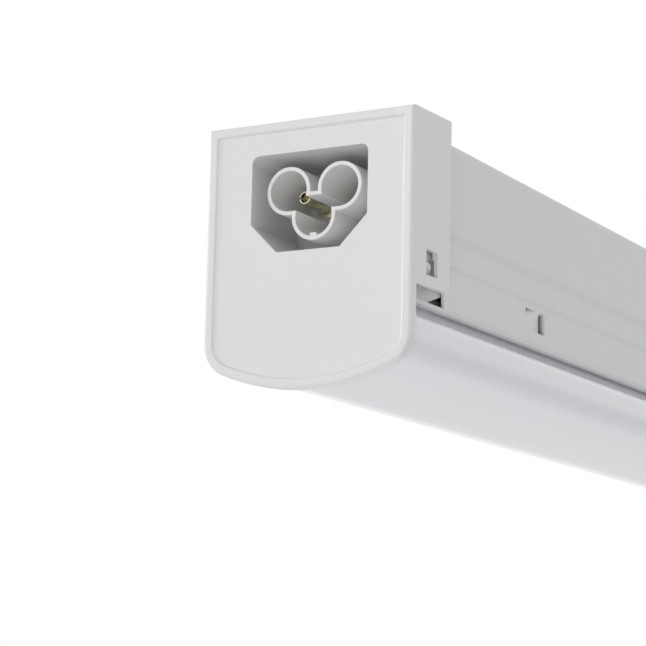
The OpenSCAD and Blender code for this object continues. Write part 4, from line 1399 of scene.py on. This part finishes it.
    def snap(self, pressed: Shape, side: int, end: int) -> None:
        """A round dimple that the cap's window snaps over.

        Args:
            pressed: The shape that it is added to.
            side: Which wall it is on.
            end: Which end of the channel.
        """
        y, z, radius = self.dimple
        sphere = (radius ** 2 + self.dimple_h ** 2) / (2 * self.dimple_h)
        spread = math.asin(radius / sphere)
        dome = [(sphere * math.sin(spread * k / 8), self.dimple_h - sphere * (1 - math.cos(spread * k / 8)))
                for k in range(9)]
        foot = [(radius + out, height) for out, height in self.dimple_foot]
        pressed.turned([*dome, *foot], (side * self.outer[1][0], end * y, z), (side, 0, 0), 28)


@dataclass
class LedTray:
    """The steel tray that carries the boards."""

    reach: float = 568.0
    sheet: float = 0.8
    half: float = 27.0
    top: float = -31.9
    foot: float = -43.3
    fold_r: float = 1.1
    punch_x: Flat = (25.0, 29.0)
    punch_z: Flat = (-2.0, 2.0)
    window_gap: float = 0.5
    rivet_r: float = 1.6
    grommet_r: float = 2.6

    def build(self, channel: FoldedChannel, rivets: Iterable[Flat]) -> None:
        """Folds and punches the tray.

        Args:
            channel: The channel, whose lances need windows.
            rivets: The rivets' places.
        """
        corners = ((-self.half, self.foot, 0), (-self.half, self.top, self.fold_r),
                   (self.half, self.top, self.fold_r), (self.half, self.foot, 0))
        blank = Shape()
        blank.strip(eased(corners, closed=False, steps=4), self.sheet, -self.reach, self.reach)
        tray = blank.made("led_tray_sheet")
        tool = Shape()
        low, high = channel.lance_z
        for start in channel.lances():
            for side in (-1, 1):
                tool.block([side * x for x in self.punch_x],
                           (start - self.window_gap, start + channel.lance_len + self.window_gap),
                           (low - self.window_gap, high + self.window_gap))
        for x, y in rivets:
            tool.pin((x, y, self.top), self.rivet_r, *self.punch_z, 20)
        tool.pin((*GROMMET, self.top), self.grommet_r, *self.punch_z, 28)
        carve(tray, tool)
        names = ("led_tray", "tray_left_side", "tray_right_side")
        fit(tray, Palette.ENAMEL, "chassis", names, Edge(0.14, 2, 50))


# Diffuser


@dataclass
class OpalDiffuser:
    """The extruded opal cover, with the legs that snap over the channel's flanges.

    The leg is given as its inner and outer place across, and its snap bead as (step out from the leg's
    outer face, z, radius).
    """

    reach: float = 596.0
    half: float = 28.1
    wall: float = 1.4
    shoulder: float = -46.4
    shoulder_r: float = 3.8
    corner: Flat = (21.0, -52.61)
    corner_r: float = 7.1
    floor_z: float = -0.7
    floor_r: float = 63.1
    leg: Flat = (22.9, 24.1)
    leg_top: float = -40.7
    leg_r: float = 0.35
    leg_root_r: float = 0.15
    bead: Sequence[Corner] = ((0.0, -41.8, 0.3), (0.6, -42.35, 0.25), (0.6, -42.9, 0.25), (0.0, -43.4, 0.3))
    inner_r: float = 0.8

    def under(self, inset: float) -> list[Flat]:
        """The curved underside from the right-hand wall to the left-hand one.

        Args:
            inset: How far inside the outer face.

        Returns:
            The points.
        """
        x, z = self.corner
        meet = math.degrees(math.atan2(z - self.floor_z, x))
        right = arc((x, z), self.corner_r - inset, 0, meet, 12)
        bottom = arc((0, self.floor_z), self.floor_r - inset, meet, -180 - meet, 40)
        left = arc((-x, z), self.corner_r - inset, -180 - meet, -180, 12)
        return [*right, *bottom[1:-1], *left]

    def half_head(self) -> list[Flat]:
        """The right-hand leg and shoulder, from the leg's inner face outwards."""
        inner, outer = self.leg
        corners = ((inner, self.shoulder - self.wall, 0), (inner, self.leg_top, self.leg_r),
                   (outer, self.leg_top, self.leg_r), *((outer + out, z, r) for out, z, r in self.bead),
                   (outer, self.shoulder, self.leg_root_r), (self.half, self.shoulder, self.shoulder_r),
                   (self.half, self.corner[1], 0))
        return eased(corners, closed=False, steps=5)[:-1]

    def build(self) -> None:
        """Extrudes the cover."""
        right = self.half_head()
        left = [(-x, z) for x, z in reversed(right)]
        inner = list(reversed(self.under(self.wall)))
        lip = self.half - self.wall - self.inner_r
        ceiling = self.shoulder - self.wall - self.inner_r
        round_l = arc((-lip, ceiling), self.inner_r, 90, 180, 4)
        round_r = arc((lip, ceiling), self.inner_r, 0, 90, 4)
        shape = Shape()
        shape.bar([*right, *self.under(0.0), *left, *round_l, *inner, *round_r], -self.reach, self.reach)
        cover = shape.made("opal_diffuser")
        names = ("diffuser_lens", "diffuser_left_side", "diffuser_right_side")
        fit(cover, Palette.OPAL, "diffuser", names, Edge(0.12, 2, 50))


# Light source


@dataclass
class LedRow:
    """One board with its LEDs, its solder pads and its resistors.

    The dome is given as (radius, height), with height 0 sunk behind the frame's face. A pad runs along
    Y between two distances beyond its LED's end. A resistor is given as half its length, half its width
    and its height, and its tips as where they start and end from its middle and half their width.
    """

    end: End
    gap: float = 1.0
    length: float = 559.5
    pitch: float = 16.0
    count: int = 33
    under: float = -33.9
    led: Point = (2.8, 3.5, 0.7)
    led_r: float = 0.2
    window_r: float = 1.15
    window_t: float = 0.3
    dome: Sequence[Flat] = ((0.0, 0.12), (0.35, 0.1), (0.7, 0.02), (0.95, -0.1), (1.05, -0.2))
    dome_sunk: float = 0.16
    pad_half: float = 1.1
    pad_y: Flat = (-0.15, 0.75)
    pad_z: Flat = (-0.16, 0.02)
    resistor_x: float = 6.2
    resistor_every: int = 3
    resistor: Point = (1.0, 0.6, 0.5)
    tip: Point = (0.75, 1.25, 0.62)
    tip_z: float = -0.52

    def places(self) -> list[float]:
        """Where the LEDs stand along Y."""
        first = (self.length - (self.count - 1) * self.pitch) / 2 + self.gap / 2
        return [self.end.sign * (first + k * self.pitch) for k in range(self.count)]

    def build(self) -> None:
        """Sets the LEDs and the small parts."""
        frames, domes, pads, resistors = Shape(), Shape(), Shape(), Shape()
        _, depth, height = self.led
        pad_z = [self.under + z for z in self.pad_z]
        for k, y in enumerate(self.places()):
            self.frame(frames, y)
            domes.turned(self.dome, (0, y, self.under - height + self.dome_sunk), (0, 0, -1), 20)
            for side in (-1, 1):
                pads.block((-self.pad_half, self.pad_half),
                           [y + side * (depth / 2 + past) for past in self.pad_y], pad_z, 0.07)
            if k % self.resistor_every == 1:
                for x in (-self.resistor_x, self.resistor_x):
                    self.chip(resistors, pads, x, y)
        row = self.end.title
        fit(frames.made(f"{row}_led_frames"), Palette.LED_FRAME, "chassis", (f"{row}_leds",))
        fit(domes.made(f"{row}_led_phosphor"), Palette.PHOSPHOR, "chassis")
        fit(pads.made(f"{row}_solder_pads"), Palette.SOLDER, "chassis")
        fit(resistors.made(f"{row}_resistors"), Palette.EPOXY, "chassis")

    def chip(self, resistors: Shape, pads: Shape, x: float, y: float) -> None:
        """One resistor with its two soldered tips.

        Args:
            resistors: The shape that its body is added to.
            pads: The shape that its tips are added to.
            x: Its place across.
            y: Its place along Y.
        """
        half, width, height = self.resistor
        inner, outer, tip = self.tip
        resistors.block((x - half, x + half), (y - width, y + width), (self.under - height, self.under), 0.08)
        for way in (-1, 1):
            pads.block((x + way * inner, x + way * outer), (y - tip, y + tip),
                       (self.under + self.tip_z, self.under), 0.06)

    def frame(self, frames: Shape, y: float) -> None:
        """One LED's white frame, with its round window.

        Args:
            frames: The shape that it is added to.
            y: The LED's place along Y.
        """
        x, depth, low = self.led[0] / 2, self.led[1] / 2, self.under - self.led[2]
        rim = eased(((-x, -depth, self.led_r), (x, -depth, self.led_r), (x, depth, self.led_r),
                     (-x, depth, self.led_r)), steps=3)
        window = [Vector(point).normalized() * self.window_r for point in rim]
        rows = ((rim, 1, 1, self.under + 0.02), (rim, 1, 1, low + 0.08), (rim, 0.95, 0.96, low),
                (window, 1, 1, low), (window, 0.9, 0.9, low + self.window_t))
        frames.loft([frames.ring((px * wide, y + py * long, z) for px, py in ring)
                     for ring, wide, long, z in rows])


@dataclass
class Rivets:
    """The pop rivets that hold the boards to the tray.

    The domed head and the rolled tail are given as (radius, height), the tail's over the grip.
    """

    across: float = 8.5
    along: Sequence[float] = (12.5, 191.0, 369.5, 548.0)
    under: float = -33.9
    grip: float = 2.0
    head: Sequence[Flat] = ((0.0, -0.72), (0.5, -0.7), (0.72, -0.86), (0.95, -0.99), (1.5, -0.9),
                            (2.0, -0.62), (2.35, -0.2), (2.4, 0.0), (1.5, 0.0))
    tail: Sequence[Flat] = ((1.5, 0.0), (2.05, 0.0), (2.12, 0.3), (1.85, 0.7), (1.35, 0.8), (0.95, 0.6),
                            (0.8, 0.3), (0.0, 0.3))

    def places(self) -> list[Flat]:
        """Where the rivets are."""
        return [(x, s * y) for s in (-1, 1) for y in self.along for x in (-self.across, self.across)]

    def build(self) -> None:
        """Sets every rivet."""
        outline = [*self.head, *((radius, self.grip + height) for radius, height in self.tail)]
        shape = Shape()
        for x, y in self.places():
            shape.turned(outline, (x, y, self.under), (0, 0, 1), 28)
        fit(shape.made("pop_rivets"), Palette.ZINC, "chassis", ("board_rivets",))


# Wiring


@dataclass
class Wiring:
    """The mains wires from the caps to the driver, and the two leads to the boards.

    At the earth point a ring's crimp barrel starts where the ring ends, and a wire goes some way into
    it. The leads run at three heights: over the tray, in the grommet and under the boards. The boards'
    terminal is given as its place along Y, half its pitch, and where a lead straightens and ends
    across. The two places along Y given for blending a mains wire from its cap to the chassis are not used.
    """

    start: float = 31.5
    lane_x: float = 24.0
    lane_pitch: float = 2.7
    lane_z: float = -3.4
    terminal_y: float = 116.0
    terminal_z: float = -13.2
    hole_pitch: float = 5.0
    wire_in: float = 6.5
    earth: Flat = (13.0, -175.0)
    barrel_z: float = -3.5
    ring: float = 4.0
    barrel: float = 7.0
    barrel_in: float = 3.5
    wire_r: float = 1.1
    lead_r: float = 0.8
    lead_z: Point = (-31.0, -34.2, -35.9)
    board_terminal: tuple[float, float, float, float] = (280.25, 2.0, 14.5, 8.0)
    blend_y: Flat = (566.0, 330.0)
    strand_r: float = 0.3
    strand_out: float = 0.62
    strand_y: Sequence[float] = (-1.2, 0.0, 1.6)

    def to_lane(self, pole: Pole, end: End, k: int) -> list[Point]:
        """The start of a route, from a crimp barrel over to a lane beside the channel's wall.

        Args:
            pole: The wire's pole.
            end: The end of the fixture.
            k: The lane, counted inwards.

        Returns:
            The points, the last one in the lane.
        """
        inward = -end.sign
        start, lane = end.sign * (END_Y - self.start), end.sign * (self.lane_x - k * self.lane_pitch)
        bow, late = (4, 2) if pole is Pole.EARTH else (3, 0)
        steps = ((pole.x, 0, pole.z), (pole.x, 10, pole.z), (pole.x * 0.8 - inward * bow, 26, pole.z),
                 (lane + inward * 5, 44 + late, pole.z * 0.6), (lane, 62 + late, self.lane_z),
                 (lane, 84 + late, self.lane_z))
        return [(x, start + inward * along, z) for x, along, z in steps]

    def near(self, pole: Pole, k: int, place: float) -> list[Point]:
        """From a near barrel along a lane to the input terminal.

        Args:
            pole: The wire's pole.
            k: The lane.
            place: The terminal's hole, in holes from its middle.

        Returns:
            The route.
        """
        first = self.to_lane(pole, End.NEAR, k)
        lane, hole, y, z = first[-1][0], place * self.hole_pitch, -self.terminal_y, self.terminal_z
        return [*first, (lane, y - 44, self.lane_z), (lane, y - 30, self.lane_z), (hole - 3, y - 20, z + 1),
                (hole, y - 11, z), (hole, y + self.wire_in, z)]

    def far(self, pole: Pole, k: int, place: float, bow: float) -> list[Point]:
        """From a far barrel past the driver and back into the input terminal.

        Args:
            pole: The wire's pole.
            k: The lane.
            place: The terminal's hole, in holes from its middle.
            bow: How far the last bend swings out.

        Returns:
            The route.
        """
        first = self.to_lane(pole, End.FAR, k)
        lane, hole, y, z = first[-1][0], place * self.hole_pitch, -self.terminal_y, self.terminal_z
        return [*first, (lane, y + 2, self.lane_z), (lane, y - 10, self.lane_z),
                (lane - 1, y - 20 - bow, (self.lane_z + z) / 2), (hole + 2, y - 22 - bow, z),
                (hole, y - 9, z), (hole, y + self.wire_in, z)]

    def near_earth(self) -> list[Point]:
        """From the near earth barrel to the first ring terminal."""
        first = self.to_lane(Pole.EARTH, End.NEAR, 2)
        lane, z, (x, y) = first[-1][0], self.barrel_z, self.earth
        last = y - self.ring - self.barrel
        return [*first, (lane, y - 62, self.lane_z), (lane, y - 48, self.lane_z), (x - 6, y - 30, z - 3),
                (x, last - 10, z), (x, last + self.barrel_in, z)]

    def far_earth(self) -> list[Point]:
        """From the far earth barrel to the second ring terminal."""
        first = self.to_lane(Pole.EARTH, End.FAR, 2)
        lane, z, (x, y) = first[-1][0], self.barrel_z, self.earth
        last = y + self.ring + self.barrel
        return [*first, (lane, y + 50, self.lane_z), (lane, y + 36, self.lane_z), (x + 1, y + 26, z),
                (x, last + 6, z), (x, last - self.barrel_in, z)]

    def lead(self, side: int) -> list[Point]:
        """A lead along the tray, through the grommet and to the board's terminal.

        Args:
            side: 1 for the positive lead, -1 for the negative one.

        Returns:
            The route.
        """
        x, hole = GROMMET[0] + side, side * self.hole_pitch / 2
        y, t, z = GROMMET[1], self.terminal_y, self.terminal_z
        over, inside, under = self.lead_z
        middle, half, straight, tip = self.board_terminal
        row = middle + side * half
        return [(hole, t - self.wire_in, z), (hole, t + 9, z), (x - 6, t + 26, z - 4), (x, t + 46, over),
                (x, t + 60, over), (x, y - 20, over), (x, y - 10, over + 1), (x, y - 3, over + 3.5),
                (x, y, over + 2.5), (x, y, inside), (x + 0.5, y + 1, under), (x, row, under),
                (straight, row, under), (tip, row, under)]

    def build(self) -> None:
        """Draws every wire, with bare strands at the ends of the mains wires."""
        mains = (
            ("near_live_wire", self.near(Pole.LIVE, 0, -1.5), Palette.WIRE_BLACK, End.NEAR),
            ("near_neutral_wire", self.near(Pole.NEUTRAL, 1, -0.5), Palette.WIRE_WHITE, End.NEAR),
            ("near_earth_wire", self.near_earth(), Palette.WIRE_GREEN, End.NEAR),
            ("far_live_wire", self.far(Pole.LIVE, 1, 0.5, 6), Palette.WIRE_BLACK, End.FAR),
            ("far_neutral_wire", self.far(Pole.NEUTRAL, 0, 1.5, 0), Palette.WIRE_WHITE, End.FAR),
            ("far_earth_wire", self.far_earth(), Palette.WIRE_GREEN, End.FAR))
        for name, route, finish, end in mains:
            shape = Shape()
            shape.tube(softened(route), self.wire_r, 14)
            wire = fit(shape.made(f"{name}_skin"), finish, None, (name,))
            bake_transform(wire)
            self.strands(name, Vector(route[0]), end)
        leads = (("positive_lead", 1, Palette.LEAD_RED), ("negative_lead", -1, Palette.WIRE_BLACK))
        for name, side, finish in leads:
            shape = Shape()
            shape.tube(softened(self.lead(side)), self.lead_r, 12)
            fit(shape.made(f"{name}_skin"), finish, "chassis", (name,))

    def strands(self, name: str, tip: Vector, end: End) -> None:
        """The bare strands that fill a crimp barrel: six in a ring and one in the middle.

        Args:
            name: The wire's name.
            tip: The end of its skin.
            end: The end of the fixture.
        """
        shape = Shape()
        for k in range(7):
            turn = 2 * math.pi * k / 6
            out = Vector((math.cos(turn), 0, math.sin(turn))) * (self.strand_out if k < 6 else 0.0)
            shape.tube([tip + out + Vector((0, end.sign * along, 0)) for along in self.strand_y],
                       self.strand_r, 8)
        fit(shape.made(f"{name}_strands"), Palette.STRANDS, end.body)


# Studio


@dataclass(frozen=True)
class Lamp:
    """A square soft lamp: where it stands, what it faces, the length of its sides and its power.

    Lengths are in metres here, and the power is in watts.
    """

    name: str
    place: Point
    target: Point
    size: float
    power: float

    def hang(self) -> None:
        """Makes the lamp and turns it to its target."""
        data = bpy.data.lights.new(self.name, "AREA")
        data.size = self.size
        data.energy = self.power
        lamp = bpy.data.objects.new(self.name, data)
        lamp.location = self.place
        ahead = Vector(self.target) - Vector(self.place)
        lamp.rotation_euler = ahead.to_track_quat("-Z", "Y").to_euler()
        bpy.context.scene.collection.objects.link(lamp)


@dataclass
class Studio:
    """A pale floor, soft light and the camera that looks up at the near cap, in metres."""

    camera_at: Point = (0.27571, -1.07130, -0.14896)
    yaw_deg: float = 29.83
    pitch_deg: float = 10.37
    roll_deg: float = 1.31
    lens_mm: float = 123.25
    floor_z: float = -1.3
    floor_reach: float = 40.0
    floor_level: float = 0.75
    world_level: float = 0.39
    lamps: Sequence[Lamp] = (
        Lamp("key", (-2.3, -1.5, 0.45), (0.0, -0.55, -0.02), 1.0, 16.0),
        Lamp("front", (-0.5, -2.6, 0.9), (0.0, -0.55, -0.02), 1.0, 9.0),
        Lamp("low_front", (0.5, -2.0, -0.85), (0.0, -0.6, -0.03), 0.6, 5.5),
        Lamp("sky", (0.9, -0.3, 1.4), (0.0, -0.3, 0.0), 1.2, 8.0),
        Lamp("under", (-0.1, 0.1, -0.9), (-0.05, 0.1, 0.0), 1.0, 2.0))

    def build(self) -> None:
        """Makes the floor, the lights, the world and the camera."""
        self.floor()
        self.world()
        for lamp in self.lamps:
            lamp.hang()
        self.camera()

    def camera(self) -> None:
        """Makes the camera from its place and its yaw, pitch and roll."""
        yaw, pitch, roll = (math.radians(a) for a in (self.yaw_deg, self.pitch_deg, self.roll_deg))
        ahead = Vector((-math.sin(yaw) * math.cos(pitch), math.cos(yaw) * math.cos(pitch), math.sin(pitch)))
        level = ahead.cross(Vector((0, 0, 1))).normalized()
        rise = level.cross(ahead)
        across = level * math.cos(roll) + rise * math.sin(roll)
        up = rise * math.cos(roll) - level * math.sin(roll)
        data = bpy.data.cameras.new("camera")
        data.lens = self.lens_mm
        data.sensor_width = 36.0
        data.clip_start, data.clip_end = 0.01, 200.0
        camera = bpy.data.objects.new("camera", data)
        axes = Matrix((across, up, -ahead)).transposed()
        camera.matrix_world = Matrix.Translation(self.camera_at) @ axes.to_4x4()
        bpy.context.scene.collection.objects.link(camera)
        bpy.context.scene.camera = camera

    def world(self) -> None:
        """White for the camera and in reflections, and a plain grey light for everything else."""
        world = bpy.data.worlds.new("studio")
        bpy.context.scene.world = world
        world.use_nodes = True
        tree = world.node_tree
        tree.nodes.clear()
        link = tree.links.new
        rays = tree.nodes.new("ShaderNodeLightPath")
        seen = tree.nodes.new("ShaderNodeMath")
        seen.operation = "MAXIMUM"
        link(rays.outputs["Is Camera Ray"], seen.inputs[0])
        link(rays.outputs["Is Transmission Ray"], seen.inputs[1])
        shown = tree.nodes.new("ShaderNodeMath")
        shown.operation = "MAXIMUM"
        link(seen.outputs["Value"], shown.inputs[0])
        link(rays.outputs["Is Glossy Ray"], shown.inputs[1])
        level = tree.nodes.new("ShaderNodeMapRange")
        level.inputs["To Min"].default_value = self.world_level
        link(shown.outputs["Value"], level.inputs["Value"])
        back = tree.nodes.new("ShaderNodeBackground")
        back.inputs["Color"].default_value = (1, 1, 1, 1)
        link(level.outputs["Result"], back.inputs["Strength"])
        out = tree.nodes.new("ShaderNodeOutputWorld")
        link(back.outputs["Background"], out.inputs["Surface"])

    def floor(self) -> None:
        """A pale floor that keeps the fixture's shadow, is clear from below and pale in reflections."""
        mesh = bpy.data.meshes.new("floor")
        far, z = self.floor_reach, self.floor_z
        mesh.from_pydata([(-far, -far, z), (far, -far, z), (far, far, z), (-far, far, z)], [], [(0, 1, 2, 3)])
        mesh.materials.append(self.floor_paint())
        floor = bpy.data.objects.new("floor", mesh)
        bpy.context.scene.collection.objects.link(floor)

    def floor_paint(self) -> bpy.types.Material:
        """The floor's material."""
        material = bpy.data.materials.new("pale_floor")
        material.use_nodes = True
        tree = material.node_tree
        tree.nodes.clear()
        link = tree.links.new
        pale = tree.nodes.new("ShaderNodeBsdfDiffuse")
        pale.inputs["Color"].default_value = (0.9, 0.9, 0.9, 1)
        clear = tree.nodes.new("ShaderNodeBsdfTransparent")
        side = tree.nodes.new("ShaderNodeNewGeometry")
        mix = tree.nodes.new("ShaderNodeMixShader")
        link(side.outputs["Backfacing"], mix.inputs["Fac"])
        link(pale.outputs["BSDF"], mix.inputs[1])
        link(clear.outputs["BSDF"], mix.inputs[2])
        white = tree.nodes.new("ShaderNodeEmission")
        white.inputs["Strength"].default_value = self.floor_level
        rays = tree.nodes.new("ShaderNodeLightPath")
        shown = tree.nodes.new("ShaderNodeMixShader")
        link(rays.outputs["Is Glossy Ray"], shown.inputs["Fac"])
        link(mix.outputs["Shader"], shown.inputs[1])
        link(white.outputs["Emission"], shown.inputs[2])
        out = tree.nodes.new("ShaderNodeOutputMaterial")
        link(shown.outputs["Shader"], out.inputs["Surface"])
        return material


# Solids that keep their shape, each with its finish
CARRIED_OVER = {
    "near_led_board": Palette.BOARD_WHITE,
    "far_led_board": Palette.BOARD_WHITE,
    "board_jumper": Palette.IVORY,
    "board_terminal": Palette.IVORY,
    "lead_grommet": Palette.RUBBER,
    "driver_case": Palette.DRIVER,
    "driver_cover": Palette.DRIVER,
    "driver_board": Palette.BOARD_GREEN,
    "driver_transformer": Palette.FERRITE,
    "driver_coils": Palette.COPPER,
    "driver_capacitors": Palette.CAPACITOR,
    "driver_chips": Palette.EPOXY,
    "input_terminal": Palette.TERMINAL,
    "output_terminal": Palette.TERMINAL,
    "driver_screws": Palette.ZINC,
    "earth_screw": Palette.ZINC,
    "earth_rings": Palette.TIN,
    "wire_clips": Palette.IVORY,
    "near_cap_plug": Palette.CAP,
    "near_socket_insert": Palette.INSERT,
    "near_insert_screws": Palette.ZINC,
    "far_cap_plug": Palette.CAP,
    "far_inlet_insert": Palette.INSERT,
    "far_live_pin": Palette.BRASS,
    "far_neutral_pin": Palette.BRASS,
    "far_earth_pin": Palette.BRASS,
    "far_insert_screws": Palette.ZINC,
}


def main() -> None:
    """Loads the frame, dresses every piece and sets up the studio."""
    logging.basicConfig(level=logging.INFO, format="%(message)s")
    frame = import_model()
    for name, finish in CARRIED_OVER.items():
        dress(frame["nodes"][name], finish)
    rivets = Rivets()
    channel = FoldedChannel()
    channel.build()
    LedTray().build(channel, rivets.places())
    OpalDiffuser().build()
    for end in End:
        EndCap(end).build()
        LedRow(end).build()
    for pole, reach in ((Pole.LIVE, 12.5), (Pole.NEUTRAL, 8.0), (Pole.EARTH, 8.0)):
        ContactSleeve(pole, reach).build()
    rivets.build()
    Wiring().build()
    Studio().build()
    bpy.context.scene.view_settings.view_transform = "Standard"


if __name__ == "__main__":
    main()
